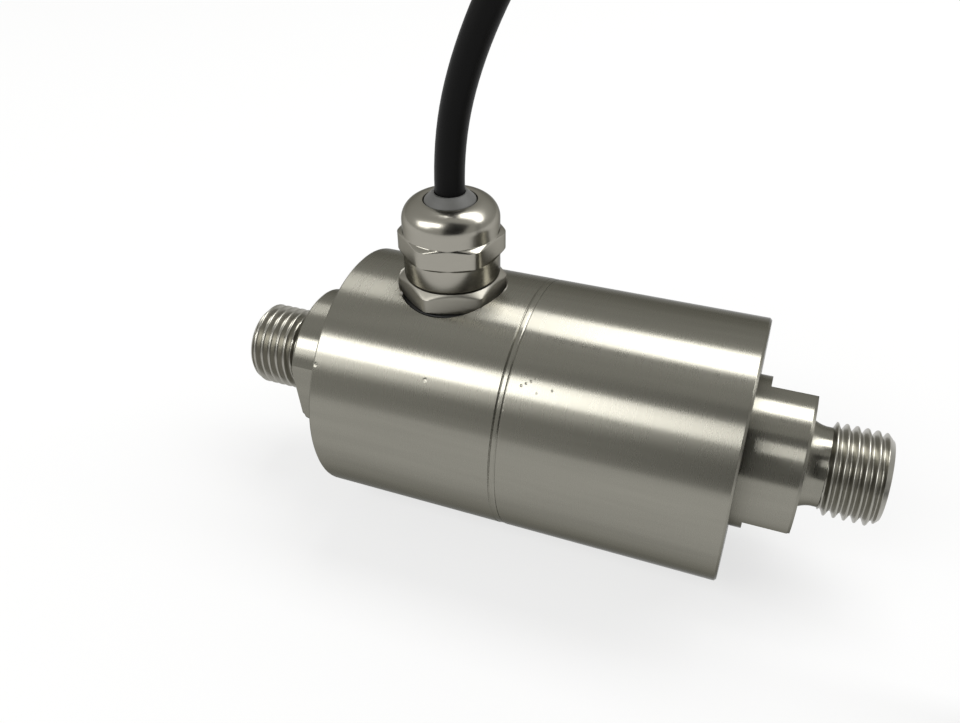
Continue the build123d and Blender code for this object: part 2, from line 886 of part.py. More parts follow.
def sensor_pieces():
    """Every piece of the sensor itself, with the body's axis at height zero."""
    pieces = {
        "housing_low_side": housing_low_side(),
        "housing_high_side": housing_high_side(),
        "port_low": port(-1, cell_low_x, waist_radius, low_flats_angle),
        "port_high": port(1, cell_high_x, socket_outer_radius, high_flats_angle),
        "cell_body": cell_body(),
        "fill_balls": fill_balls(),
        "cell_header": cell_header(),
        "header_glass_beads": header_glass_beads(),
        "header_pins": header_pins(),
        "die_pedestal": die_pedestal(),
        "sensor_die": sensor_die(),
        "board_carrier": board_carrier(),
        "amplifier_board": amplifier_board(),
        "board_screws": board_screws(),
        "converter_chip": on_board(converter_size, converter_place()),
        "amplifier_chip": on_board(amplifier_size, amplifier_place()),
        "board_capacitors": board_capacitors(),
        "gland_body": gland_body(),
        "gland_gasket": gland_gasket(),
        "gland_claw": gland_claw(),
        "gland_seal": gland_seal(),
        "gland_nut": gland_nut(),
        "cable_entry": cable_entry(),
    }
    for side, name in ((-1, "low"), (1, "high")):
        pieces["diaphragm_" + name] = diaphragm(side)
        pieces["diaphragm_ring_" + name] = diaphragm_ring(side)
        pieces["cell_o_ring_" + name] = cell_o_ring(side)
    for index, name in enumerate(core_names):
        pieces["conductor_" + name] = tube(core_route(index), core_diameter / 2, "conductor " + name)
    return pieces


def cable_pieces():
    """The free cable and what is on it, with the ground at height zero."""
    hank = cable_hank()
    pieces = {
        "cable_tail": tube(cable_route, cable_radius, "cable tail"),
        "cable_hank": hank,
        "hank_ties": hank_ties(),
        "cable_end": tube(end_route, cable_radius, "cable end") - hank,
        "end_sleeve": end_sleeve(),
        "lead_ferrules": lead_ferrules(),
    }
    for index, name in enumerate(core_names):
        pieces["lead_" + name] = tube(lead_route(index), lead_diameter / 2, "lead " + name)
    return pieces


def write(name, shape, height):
    """Write one piece, raised to its place above the ground."""
    solids = shape if isinstance(shape, list) else list(shape.solids())
    lifted = [Pos(0, 0, height) * solid for solid in solids]
    result = lifted[0] if len(lifted) == 1 else Compound(children=lifted)
    export_step(result, os.path.join("parts", name + ".step"))


def main():
    """Build every piece and write it to its own file."""
    os.makedirs("parts", exist_ok=True)
    for name, shape in sensor_pieces().items():
        write(name, shape, axis_height)
    for name, shape in cable_pieces().items():
        write(name, shape, 0.0)


main()
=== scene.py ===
"""Looks of an in-line differential pressure sensor: body, ports, cable gland, cable and inner pieces.

Metres, in the same frame as the construction: +X runs along the body from the low side to the high side,
+Z points up the cable gland, and the origin is on the ground under the middle of the body.
"""
import json
import math

import bmesh
import bpy
from bpy.props import FloatProperty, FloatVectorProperty, PointerProperty
from bpy.types import Operator, Panel, PropertyGroup
from mathutils import Matrix, Vector

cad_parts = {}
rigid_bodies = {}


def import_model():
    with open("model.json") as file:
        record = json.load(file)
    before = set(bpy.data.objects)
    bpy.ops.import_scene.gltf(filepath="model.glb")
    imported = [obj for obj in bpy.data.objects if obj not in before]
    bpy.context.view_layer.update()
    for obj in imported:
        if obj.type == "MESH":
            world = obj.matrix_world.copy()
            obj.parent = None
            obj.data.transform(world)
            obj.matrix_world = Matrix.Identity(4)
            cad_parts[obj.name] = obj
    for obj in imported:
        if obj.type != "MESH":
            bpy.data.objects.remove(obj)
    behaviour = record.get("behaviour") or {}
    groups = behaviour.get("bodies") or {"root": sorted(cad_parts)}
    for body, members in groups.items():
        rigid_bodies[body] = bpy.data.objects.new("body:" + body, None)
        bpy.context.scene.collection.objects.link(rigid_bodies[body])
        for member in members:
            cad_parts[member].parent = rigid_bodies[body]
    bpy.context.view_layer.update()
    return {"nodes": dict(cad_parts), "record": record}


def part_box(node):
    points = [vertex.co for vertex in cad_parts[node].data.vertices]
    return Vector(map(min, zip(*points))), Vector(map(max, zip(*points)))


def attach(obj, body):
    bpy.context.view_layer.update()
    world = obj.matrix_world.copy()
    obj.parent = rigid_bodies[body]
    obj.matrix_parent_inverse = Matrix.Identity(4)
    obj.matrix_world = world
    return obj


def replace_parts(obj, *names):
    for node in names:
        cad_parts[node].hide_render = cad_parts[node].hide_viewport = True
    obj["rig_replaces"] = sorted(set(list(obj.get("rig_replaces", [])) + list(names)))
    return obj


bl_info = {
    "name": "Differential Pressure Sensor",
    "version": (1, 0, 0),
    "blender": (4, 5, 0),
    "location": "View3D > Sidebar > Sensor",
    "description": "Builds the pieces and finishes of an in-line differential pressure sensor",
    "category": "Add Mesh",
}

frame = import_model()

MM = 0.001
# Points closer than this are joined, and edges that turn by more than this stay hard
WELD = 0.0005 * MM
SHARP_TURN = math.radians(32)
LATHE_COLUMNS = 360
# Handling marks: millimetres along the body, degrees from the top to the front, radius in millimetres
MARKS = ((-29.5, 56.0, 0.4), (-12.6, 52.0, 0.35), (0.84, 45.6, 0.22), (1.4, 44.4, 0.2), (2.0, 43.1, 0.2),
         (2.54, 41.9, 0.18), (3.11, 47.4, 0.16), (5.07, 45.0, 0.18), (-0.96, 56.6, 0.22))
# Where the groove at the seam fades: degrees from the top to the front, and over how many degrees
GROOVE_FADES = ((-25.0, 30.0), (115.0, 25.0))
# Long lamps, which reflect as the bright bands along the body: name, degrees from the top to the front,
# spread in degrees, reach along the body in metres, radiance
LAMPS = (
    ("rear_lamp", -22.0, 22.0, (-0.25, 1.5), 7.0),
    ("front_lamp", 41.5, 17.0, (-1.3, -0.1), 7.0),
    ("low_front_lamp", 55.0, 10.0, (-1.5, -0.5), 4.0),
    ("lowest_front_lamp", 63.0, 6.0, (-1.5, -0.6), 2.0),
)

BODY_LOW, BODY_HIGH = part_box("housing_high_side")
AXIS_Z = (BODY_LOW.z + BODY_HIGH.z) / 2
BODY_RADIUS = (BODY_HIGH.z - BODY_LOW.z) / 2
SEAM_X = BODY_LOW.x
HALF_BODY = BODY_HIGH.x
GLAND_X = sum(corner.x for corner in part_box("gland_nut")) / 2

# Leads: side of the cable in y and z, place at their ends in millimetres, share of their length to the bend
LEADS = {"red": (1, -1, 6.2, 0.2), "black": (1, 1, 4.2, 0.45), "green": (-1, 1, 2.2, 0.45),
         "white": (-1, -1, 0.2, 0.2)}


# Settings

def length(name, description, millimetres):
    """Length setting, from its default in millimetres."""
    return FloatProperty(name=name, description=description, unit="LENGTH", precision=5,
                         default=millimetres * MM)


def turn(name, description, degrees):
    """Angle setting, from its default in degrees."""
    return FloatProperty(name=name, description=description, subtype="ANGLE", default=math.radians(degrees))


def linear(code):
    """Linear red, green, blue and alpha of an sRGB hex colour."""
    shares = [int(code[start:start + 2], 16) / 255 for start in (0, 2, 4)]
    return tuple(s / 12.92 if s <= 0.04045 else ((s + 0.055) / 1.055) ** 2.4 for s in shares) + (1.0,)


def colour(name, description, code):
    """Colour setting, from its default as an sRGB hex value."""
    return FloatVectorProperty(name=name, description=description, subtype="COLOR", size=4, min=0, max=1,
                               default=linear(code))


class SensorHousing(PropertyGroup):
    """Sizes of the two shells of the body."""
    diameter: length("Diameter", "Outside diameter of the body", 38.0)
    rim_chamfer: length("Rim chamfer", "Chamfer round each end of the body", 0.3)
    edge_round: length("Edge rounding", "Radius that turning and wear leave on an edge", 0.07)
    low_wall: length("Low side wall", "Wall of the low side shell", 4.0)
    high_wall: length("High side wall", "Wall of the high side shell", 3.0)
    end_wall: length("End wall", "Thickness of each end wall", 3.5)
    fit_gap: length("Fit gap", "Gap between pieces that slide into each other", 0.05)
    spigot: length("Spigot", "Length of the spigot that centres the shells", 3.0)
    groove_width: length("Groove width", "Width of the groove at the seam", 1.0)
    groove_depth: length("Groove depth", "Depth of the groove where it is deepest", 0.3)
    bead_depth: length("Bead depth", "Depth of the weld's turned bead inside the groove", 0.14)
    bead_share: FloatProperty(name="Bead share", description="Share of the groove that the bead fills",
                              subtype="FACTOR", min=0, max=1, default=0.5)
    seat_depth: length("Seat depth", "Depth of the counterbore under the gland", 2.5)
    seat_diameter: length("Seat diameter", "Diameter of the counterbore under the gland", 15.9)
    seat_round: length("Seat rim", "Radius that the rim of the counterbore is rounded to", 0.3)
    gland_hole: length("Gland hole", "Diameter of the hole for the gland's thread", 12.1)


class SensorPorts(PropertyGroup):
    """Sizes of the two ports."""
    collar_diameter: length("Collar", "Diameter of the collar", 22.0)
    collar_length: length("Collar length", "Length of the collar outside the body", 8.0)
    collar_edge: length("Collar edge", "Chamfer at the collar's end", 0.4)
    flats_width: length("Wrench size", "Width across the two wrench flats", 19.0)
    flats_setback: length("Flats setback", "Distance from the body's end to the flats", 1.75)
    low_flats_turn: turn("Low side flats", "Turn of the low side flats from the top", 96.5)
    high_flats_turn: turn("High side flats", "Turn of the high side flats from the top", 144.4)
    flare_diameter: length("Flare", "Diameter where the neck leaves the collar", 13.0)
    flare_length: length("Flare length", "Length over which the neck narrows", 2.1)
    neck_diameter: length("Neck", "Diameter of the relief neck", 11.3)
    neck_length: length("Neck length", "Length of the neck up to the thread", 3.3)
    thread_diameter: length("Thread", "Outside diameter of the pipe thread", 13.157)
    thread_pitch: length("Pitch", "Distance between two thread crests", 1.337)
    thread_depth: length("Thread depth", "Depth from crest to root", 0.856)
    thread_round: length("Thread rounding", "Radius of the crests and roots", 0.184)
    thread_start: length("Thread start", "Length of the steep chamfer at the neck", 0.4)
    thread_chamfer: length("Thread chamfer", "Chamfer at the thread's end", 1.0)
    low_crest: length("Low side crest", "Distance from the thread's start to a crest on top", 1.44)
    high_crest: length("High side crest", "Distance from the thread's start to a crest on top", 1.86)
    bore: length("Bore", "Diameter of the pressure bore", 5.0)
    bore_edge: length("Bore edge", "Chamfer of the pressure bore", 0.25)


class SensorGland(PropertyGroup):
    """Sizes of the cable gland."""
    hex_width: length("Wrench size", "Width across the flats of both hexagons", 14.0)
    body_corners: length("Body corners", "Diameter that the body's corners are turned to", 15.7)
    nut_corners: length("Nut corners", "Diameter that the nut's corners are turned to", 15.4)
    face_diameter: length("Chamfer face", "Diameter of the flat face inside the chamfer", 13.7)
    chamfer_height: length("Chamfer height", "Height of the chamfer on the corners", 0.45)
    body_chamfer: length("Body chamfer", "Height of the upper chamfer of the gland body's corners", 0.75)
    edge_blend: length("Edge blend", "Width over which plating rounds an edge", 0.3)
    body_hex_height: length("Body hexagon height", "Height of the gland body's hexagon", 3.2)
    body_turn: turn("Body turn", "Direction that a facet of the gland body faces", -67.5)
    nut_turn: turn("Nut turn", "Direction that a facet of the nut faces", -71.5)
    nut_skirt: length("Nut skirt", "Diameter of the nut's round skirt", 13.8)
    nut_hex_start: length("Nut hexagon start", "Height of the skirt under the nut's hexagon", 3.3)
    nut_hex_height: length("Nut hexagon height", "Height of the nut's hexagon", 3.4)
    dome_height: length("Dome height", "Height of the nut's rounded top", 2.8)
    opening: length("Opening", "Diameter of the nut's opening", 7.5)
    opening_chamfer: length("Opening chamfer", "Chamfer of the nut's opening", 0.14)


class SensorCable(PropertyGroup):
    """Sizes of the cable and what is on it."""
    diameter: length("Cable", "Outside diameter of the cable", 4.2)
    free_length: length("Free length", "Length of the cable outside the gland", 1149.6)
    hank_left: length("Hank start", "Left end of the hank along the body's axis", 89.5)
    hank_length: length("Hank length", "Overall length of the hank", 121.8)
    fold_radius: length("Fold radius", "Radius of the hank's inner folds", 12.6)
    lift: length("Lift", "Height of the hank above the ground", 0.55)
    lead_diameter: length("Lead", "Outside diameter of one lead", 1.0)
    tie_width: length("Tie width", "Width of a cable tie", 3.6)
    tie_thickness: length("Tie thickness", "Thickness of a cable tie", 0.45)


class SensorColours(PropertyGroup):
    """Colours of the finishes."""
    steel: colour("Stainless steel", "Reflection of the body and ports", "8c8a81")
    nickel: colour("Nickel", "Reflection of the plated gland", "9c9990")
    # Lighter than the body's steel: painted light that makes up for the shade between the thread's flanks
    thread_steel_painted_light: colour("Thread steel", "Reflection of the pipe threads", "9e9c94")
    # Far lighter than the body's steel: painted light inside the counterbore under the gland, where shade
    # falls
    seat_steel_painted_light: colour("Seat steel", "Reflection of the counterbore under the gland", "dcdad2")
    sheath: colour("Cable sheath", "Colour of the cable's sheath", "080808")
    seal: colour("Gland seal", "Colour of the gland's seal", "50504e")
    red: colour("Red lead", "Colour of the supply lead", "b3201c")
    black: colour("Black lead", "Colour of the ground lead", "1b1b1b")
    green: colour("Green lead", "Colour of the signal lead", "1e7a35")
    white: colour("White lead", "Colour of the second signal lead", "e6e4dc")


class SensorStage(PropertyGroup):
    """Camera, lamps and floor."""
    lens: FloatProperty(name="Lens", description="Focal length of the camera", unit="CAMERA", default=33.309)
    eye: FloatVectorProperty(name="Camera place", description="Place of the camera", subtype="XYZ",
                             unit="LENGTH", default=(0.030873, -0.102664, 0.103334))
    aim: FloatVectorProperty(name="Aim", description="Point that the camera looks at", subtype="XYZ",
                             unit="LENGTH", default=(-0.013246, 0.006893, 0.019))
    roll: turn("Roll", "Turn of the camera about its own line of sight", -0.92)
    surround: colour("Surround", "Grey of the studio round the object", "c8c8c5")
    floor: colour("Floor", "Colour of the floor", "cfcfcf")
    glow: FloatProperty(name="Floor glow", description="Share of the floor that is plain white",
                        subtype="FACTOR", min=0, max=1, default=0.7)


SETTINGS = {
    "sensor_housing": SensorHousing,
    "sensor_ports": SensorPorts,
    "sensor_gland": SensorGland,
    "sensor_cable": SensorCable,
    "sensor_colours": SensorColours,
    "sensor_stage": SensorStage,
}


# Outlines and surfaces

def bend(start, corner, end, weight, steps):
    """Points from start to end, drawn towards a corner; sin(half its angle) as weight gives an arc."""
    points = []
    for step in range(steps + 1):
        t = step / steps
        shares = ((1 - t) ** 2, 2 * weight * t * (1 - t), t ** 2)
        points.append((start * shares[0] + corner * shares[1] + end * shares[2]) / sum(shares))
    return points


def rounded(corners, steps=4):
    """Closed outline from corners of two coordinates and the radius that each is rounded to."""
    outline = []
    for index, (along, across, radius) in enumerate(corners):
        corner = Vector((along, across))
        back = Vector(corners[index - 1][:2]) - corner
        ahead = Vector(corners[(index + 1) % len(corners)][:2]) - corner
        if not radius:
            outline.append(corner)
            continue
        half = back.angle(ahead) / 2
        reach = min(radius / math.tan(half), 0.45 * back.length, 0.45 * ahead.length)
        outline += bend(corner + back.normalized() * reach, corner, corner + ahead.normalized() * reach,
                        math.sin(half), steps)
    return outline


def around(count, *extra):
    """Evenly spaced angles round a turn, with extra ones where a corner needs them."""
    angles = [2 * math.pi * index / count for index in range(count)]
    return sorted(angles + [angle % (2 * math.pi) for angle in extra])


def on_axis(along, radius, angle):
    """Point about the body's axis; the angle runs from the top towards the front."""
    return Vector((along, -radius * math.sin(angle), AXIS_Z + radius * math.cos(angle)))


def turned(outline, angles, radius_at):
    """Rings of an outline turned about the body's axis, with a function that gives each point's radius."""
    return [[on_axis(along, radius_at(along, radius, angle), angle) for angle in angles]
            for along, radius in outline]


def turned_upright(outline, angles):
    """Rings of radius and height about the gland's axis, where a radius may be a function of the angle."""
    rings = []
    for radius, height in outline:
        radii = [radius(angle) if callable(radius) else radius for angle in angles]
        rings.append([Vector((GLAND_X + r * math.cos(a), r * math.sin(a), height))
                      for r, a in zip(radii, angles)])
    return rings


def skin(points, rings, closed=True, wrapped=True):
    """Faces between rings of points, which are added to the list of points."""
    first, count = len(points), len(rings[0])
    for ring in rings:
        points.extend(ring)
    faces = []
    for row in range(len(rings) if closed else len(rings) - 1):
        here, there = (first + index % len(rings) * count for index in (row, row + 1))
        for column in range(count if wrapped else count - 1):
            following = (column + 1) % count
            faces.append((here + column, here + following, there + following, there + column))
    return faces


def mesh_of(name, points, faces):
    """Mesh with its double points joined and its normals outwards."""
    mesh = bpy.data.meshes.new(name)
    mesh.from_pydata(points, [], faces)
    work = bmesh.new()
    work.from_mesh(mesh)
    bmesh.ops.remove_doubles(work, verts=work.verts, dist=WELD)
    bmesh.ops.recalc_face_normals(work, faces=work.faces)
    work.to_mesh(mesh)
    work.free()
    return mesh


def shade_evenly(thing):
    """Smooth shading that keeps the hard edges."""
    thing.data.shade_smooth()
    thing.data.set_sharp_from_angle(angle=SHARP_TURN)
    thing.modifiers.new("Even shading", "WEIGHTED_NORMAL").keep_sharp = True


def placed(name, data, material, slot, *nodes):
    """Object that rides on the body and stands for its nodes."""
    thing = bpy.data.objects.new(name, data)
    bpy.context.scene.collection.objects.link(thing)
    data.materials.append(material)
    if isinstance(data, bpy.types.Mesh):
        shade_evenly(thing)
    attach(thing, "root")
    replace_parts(thing, *nodes)
    return thing


def lathe(name, rings, material, slot, *nodes):
    """Object from the rings of one closed outline."""
    points = []
    faces = skin(points, rings)
    return placed(name, mesh_of(name, points, faces), material, slot, *nodes)


# Materials

# Keeps metal from brightening at its rim more than the real one does
EDGE_TINT = linear("a0a09e")


def add(tree, kind, settings=None, **inputs):
    """Add a node to a tree with its settings, and its inputs as values or links."""
    node = tree.nodes.new(kind)
    for name, value in (settings or {}).items():
        setattr(node, name, value)
    for name, value in inputs.items():
        socket = node.inputs[int(name[1:]) if name[1:].isdigit() else name.replace("_", " ")]
        if isinstance(value, bpy.types.NodeSocket):
            tree.links.new(value, socket)
        else:
            socket.default_value = value
    return node


def surface(name, base, **values):
    """Material of this name, made anew, and its shader with plain values on the shader's own sockets."""
    material = bpy.data.materials.get(name) or bpy.data.materials.new(name)
    material.use_nodes = True
    material.diffuse_color = base
    tree = material.node_tree
    tree.nodes.clear()
    shader = add(tree, "ShaderNodeBsdfPrincipled", Base_Color=base, **values)
    add(tree, "ShaderNodeOutputMaterial", Surface=shader.outputs[0])
    return material, tree, shader


def shade(base, share):
    """Base colour made darker or lighter by a share."""
    return tuple(min(1.0, channel * share) for channel in base[:3]) + (1.0,)


def mottled(tree, shader, base, spread, size, stretch=(1, 1, 1), bump=0.0, depth=0.01 * MM, detail=3.0):
    """Uneven colour, and relief if asked, from noise of a real size in metres."""
    place = add(tree, "ShaderNodeTexCoord").outputs["Object"]
    scaled = add(tree, "ShaderNodeMapping", Vector=place, Scale=[1 / (size * s) for s in stretch])
    noise = add(tree, "ShaderNodeTexNoise", Vector=scaled.outputs[0], Scale=1.0, Detail=detail)
    low, high = shade(base, 1 - spread), shade(base, 1 + spread)
    mix = add(tree, "ShaderNodeMix", {"data_type": "RGBA"}, Factor=noise.outputs["Fac"], _6=low, _7=high)
    tree.links.new(mix.outputs[2], shader.inputs["Base Color"])
    if bump:
        relief = add(tree, "ShaderNodeBump", Height=noise.outputs["Fac"], Strength=bump, Distance=depth)
        tree.links.new(relief.outputs[0], shader.inputs["Normal"])


def turned_stainless(base):
    """Turned stainless steel, satin: fine rings round the axis blur a reflection along the axis only."""
    material, tree, shader = surface("satin_turned_stainless", base, Metallic=1.0, Roughness=0.27,
                                     Anisotropic=0.95, Anisotropic_Rotation=0.25, Specular_Tint=EDGE_TINT)
    tangent = add(tree, "ShaderNodeTangent", {"direction_type": "RADIAL", "axis": "X"})
    tree.links.new(tangent.outputs[0], shader.inputs["Tangent"])
    place = add(tree, "ShaderNodeTexCoord").outputs["Object"]
    # Handling has left streaks along the body, about 2 mm wide
    mottled(tree, shader, base, 0.12, 2.0 * MM, (14, 1, 1), detail=4.0)
    # Rings of about 0.5 mm differ in gloss, which frays the edge of a reflection
    gloss = ring_noise(tree, place, 0.5 * MM, 20 / 3 * MM, 3.0)
    rough = add(tree, "ShaderNodeMapRange", Value=gloss, From_Min=0.3, From_Max=0.7, To_Min=0.267,
                To_Max=0.283)
    tree.links.new(rough.outputs[0], shader.inputs["Roughness"])
    # The feed of 0.25 mm shows only as relief
    feed = ring_noise(tree, place, 0.25 * MM, 250 / 3 * MM, 2.0)
    relief = add(tree, "ShaderNodeBump", Height=feed, Strength=0.08, Distance=0.004 * MM)
    tree.links.new(dented(tree, place, relief.outputs[0]), shader.inputs["Normal"])
    return material


def ring_noise(tree, place, width, reach, detail):
    """Noise in rings about the body's axis, from the real width of a ring and how far it stays the same."""
    rings = add(tree, "ShaderNodeMapping", Vector=place, Scale=(1 / width, 1 / reach, 1 / reach))
    return add(tree, "ShaderNodeTexNoise", Vector=rings.outputs[0], Scale=1.0, Detail=detail).outputs["Fac"]


def dented(tree, place, normal):
    """Normal with the handling marks pressed in, each at its place along the body and round it."""
    dents = 0.0
    for along, degrees, radius in MARKS:
        spot = on_axis(along * MM, BODY_RADIUS, math.radians(degrees))
        away = add(tree, "ShaderNodeVectorMath", {"operation": "DISTANCE"}, _0=place, _1=spot)
        dent = add(tree, "ShaderNodeMapRange", {"interpolation_type": "SMOOTHSTEP"},
                   Value=away.outputs["Value"], From_Min=0.4 * radius * MM, From_Max=radius * MM, To_Min=1.0,
                   To_Max=0.0)
        deepest = add(tree, "ShaderNodeMath", {"operation": "MAXIMUM"}, _0=dents, _1=dent.outputs[0])
        dents = deepest.outputs[0]
    # Grit of 0.25 mm leaves the bottom of a dent uneven
    grit = add(tree, "ShaderNodeTexNoise", Vector=place, Scale=1 / (0.25 * MM), Detail=2.0)
    broken = add(tree, "ShaderNodeMath", {"operation": "MULTIPLY"}, _0=dents, _1=grit.outputs["Fac"])
    pressed = add(tree, "ShaderNodeBump", {"invert": True}, Height=broken.outputs[0], Strength=0.6,
                  Distance=0.15 * MM, Normal=normal)
    return pressed.outputs[0]


def cut_stainless(name, base, roughness):
    """Stainless steel as a cutting tool leaves it in threads and pockets, without a direction; the lighter
    colours that it gets there are painted light against the shade in those hollows.
    """
    material, tree, shader = surface(name, base, Metallic=1.0, Roughness=roughness)
    mottled(tree, shader, base, 0.08, 0.4 * MM, (1, 1, 1), 0.06, 0.004 * MM)
    return material


def nickel_plate(name, base, roughness):
    """Nickel plating on turned brass, bright or satin: a little warm, with faint turning marks."""
    material, tree, shader = surface(name, base, Metallic=1.0, Roughness=roughness, Specular_Tint=EDGE_TINT)
    mottled(tree, shader, base, 0.03, 0.6 * MM, (4, 4, 1), 0.05, 0.004 * MM)
    return material


def soft_plastic(name, base, roughness, size, bump, **values):
    """Moulded or extruded plastic or rubber: a fine unevenness breaks up its gloss."""
    material, tree, shader = surface(name, base, Roughness=roughness, **values)
    mottled(tree, shader, base, 0.06, size, (1, 1, 1), bump, 0.02 * MM)
    return material


def insulation(name, colours):
    """Insulation of one lead, extruded PVC: smooth, with the soft gloss of thin plastic."""
    return soft_plastic("pvc_insulation_" + name, getattr(colours, name), 0.4, 0.5 * MM, 0.08)


def cable_sheath(base):
    """PVC cable sheath, extruded: satin black with a soft, slightly wavy highlight."""
    return soft_plastic("pvc_cable_sheath", base, 0.45, 1.2 * MM, 0.12, Specular_IOR_Level=0.1)


# Pieces

class BuildCable(Operator):
    """Build the cable, its hank and its stripped end"""
    bl_idname = "sensor.cable"
    bl_label = "Cable"

    def execute(self, context):
        """Lay the cable along its route and through the turns of the hank."""
        cable = context.scene.sensor_cable
        colours = context.scene.sensor_colours
        radius = cable.diameter / 2
        low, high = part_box("cable_entry")
        low_z = cable.lift + radius
        outer_line = cable.fold_radius + cable.diameter
        left = cable.hank_left + outer_line + radius
        right = cable.hank_left + cable.hank_length - outer_line - radius
        route = [(x * MM, y * MM, z * MM) for x, y, z in (
            (-14.5, 0.0, 59.0), (-11.4, 0.0, 71.0), (-5.0, 0.2, 84.0), (5.5, 0.5, 95.5), (20.5, 0.6, 103.0),
            (36.0, 0.0, 101.0), (48.0, -1.6, 90.0), (54.6, -4.4, 73.0), (58.0, -7.8, 55.0),
            (60.0, -11.2, 38.5), (64.0, -14.2, 23.0), (71.4, -16.0, 12.0), (81.0, -16.7, 5.2),
        )]
        start = (GLAND_X, 0.0, high.z)
        run_in = 7.0 * MM
        lead_in = [(x, -outer_line, low_z) for x in (cable.hank_left, cable.hank_left + run_in)]
        tail = [(right + x * MM, y * MM, low_z) for x, y in (
            (-0.3, 12.7), (-5.9, 11.6), (-10.6, 8.7), (-15.2, 5.4), (-20.2, 4.0), (-29.1, 4.0))]
        points = [start] + route + lead_in + hank_turns(left, right, cable, low_z) + tail
        sheath = cable_sheath(colours.sheath)
        cord = curve("cable", points, radius, sheath, "cable_sheath", "cable_tail", "cable_hank",
                     "cable_end")
        entry = [(0.5 * radius, low.z), (radius, low.z), (radius, high.z), (0.5 * radius, high.z)]
        lathe("sheath_in_gland", turned_upright(entry, around(96)), sheath, "cable_sheath", "cable_entry")
        extras = stripped_end(cable, colours, points[-1]) + cable_ties(cable)
        return {"FINISHED"}


def curve(name, points, radius, material, slot, *nodes):
    """Smooth round curve through a route's control points."""
    data = bpy.data.curves.new(name, "CURVE")
    data.dimensions = "3D"
    line = data.splines.new("NURBS")
    line.points.add(len(points) - 1)
    for place, point in zip(line.points, points):
        place.co = (*point, 1.0)
    line.order_u = 3
    line.use_endpoint_u = True
    line.resolution_u = 8
    data.bevel_depth = radius
    data.bevel_resolution = 10
    data.use_fill_caps = True
    return placed(name, data, material, slot, *nodes)


def smooth_share(share):
    """Share that starts and ends gently, kept between 0 and 1."""
    share = min(1.0, max(0.0, share))
    return share * share * (3 - 2 * share)


def hank_turns(left, right, cable, low_z):
    """Control points of the hank: outer laps low and high, then inner laps high and low, the last a half."""
    inner, outer = cable.fold_radius, cable.fold_radius + cable.diameter
    upper_z = low_z + cable.diameter
    # Points stand closer beside a fold, so that the curve enters it gently
    shares = {"run": (0.0, 0.08, 0.36, 0.64, 0.92), "fold": [step / 8 for step in range(8)]}
    points = []
    # The stages of a lap are the run to the right, the right fold, the run back and the left fold
    for lap in range(4):
        for stage in range(4):
            if lap == 3 and stage > 1:
                break
            for share in shares["fold" if stage % 2 else "run"]:
                across, height = lap_place(lap, stage, share, inner, outer, low_z, upper_z)
                if stage == 0:
                    points.append((left + (right - left) * share, -across, height))
                elif stage == 1:
                    angle = math.pi * (share - 0.5)
                    points.append((right + across * math.cos(angle), across * math.sin(angle), height))
                elif stage == 2:
                    points.append((right - (right - left) * share, across, height))
                else:
                    angle = math.pi * (share + 0.5)
                    points.append((left + across * math.cos(angle), across * math.sin(angle), height))
    return points


def lap_place(lap, stage, share, inner, outer, low_z, upper_z):
    """Distance from the middle line and height of a lap of the hank at a share of one of its stages."""
    if lap == 0:
        rise = smooth_share(share / 0.75) if stage == 3 else 0.0
        return outer, low_z + (upper_z - low_z) * rise
    if lap == 1:
        shift = {2: smooth_share(2 * share - 1), 3: 1.0}.get(stage, 0.0)
        return outer + (inner - outer) * shift, upper_z
    if lap == 2:
        drop = {2: smooth_share(2 * share), 3: 1.0}.get(stage, 0.0)
        return inner, upper_z + (low_z - upper_z) * drop
    return inner, low_z


def stripped_end(cable, colours, end):
    """Shrink sleeve, four leads and their crimped ferrules at the cable's cut end."""
    pieces = [shrink_sleeve(cable.diameter / 2)]
    points, faces = [], []
    offset, run, bend_share = 0.6 * MM, 16.0 * MM, 0.4
    rest_z = sum(corner.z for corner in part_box("lead_ferrules")) / 2
    for name, (side_y, side_z, fan_y, bend_from) in LEADS.items():
        from_y, from_z = end[1] + side_y * offset, end[2] + side_z * offset
        route = [(end[0], from_y, from_z), (end[0] - bend_from * run, from_y, from_z),
                 (end[0] - (bend_from + bend_share) * run, fan_y * MM, rest_z),
                 (end[0] - run, fan_y * MM, rest_z)]
        pieces.append(curve(name + "_lead", route, cable.lead_diameter / 2, insulation(name, colours),
                            name + "_insulation", "lead_" + name))
        faces += skin(points, ferrule_rings(end[0] - run, fan_y * MM, rest_z))
    mesh = mesh_of("wire_ferrules", points, faces)
    pieces.append(placed("wire_ferrules", mesh, tinned_copper(), "tinned_copper", "lead_ferrules"))
    return pieces


def shrink_sleeve(cable_radius):
    """Heat shrink sleeve that grips the cable's cut end."""
    low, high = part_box("end_sleeve")
    middle_y, middle_z = (low.y + high.y) / 2, (low.z + high.z) / 2
    outer = (high.y - low.y) / 2
    grip = outer - cable_radius - 0.05 * MM
    profile = [(low.x, outer - grip, 0.03 * MM), (low.x + 0.6 * MM, outer, 0.5 * MM),
               (high.x - 0.8 * MM, outer, 0.6 * MM), (high.x, outer - 0.6 * grip, 0.06 * MM),
               (high.x, outer - grip, 0.03 * MM)]
    black = soft_plastic("shrink_sleeve_polyolefin", linear("1d1d1d"), 0.5, 0.8 * MM, 0.1)
    angles = around(96)
    rings = [[Vector((x, middle_y + r * math.cos(a), middle_z + r * math.sin(a))) for a in angles]
             for x, r in rounded(profile)]
    return lathe("shrink_sleeve", rings, black, "shrink_sleeve", "end_sleeve")


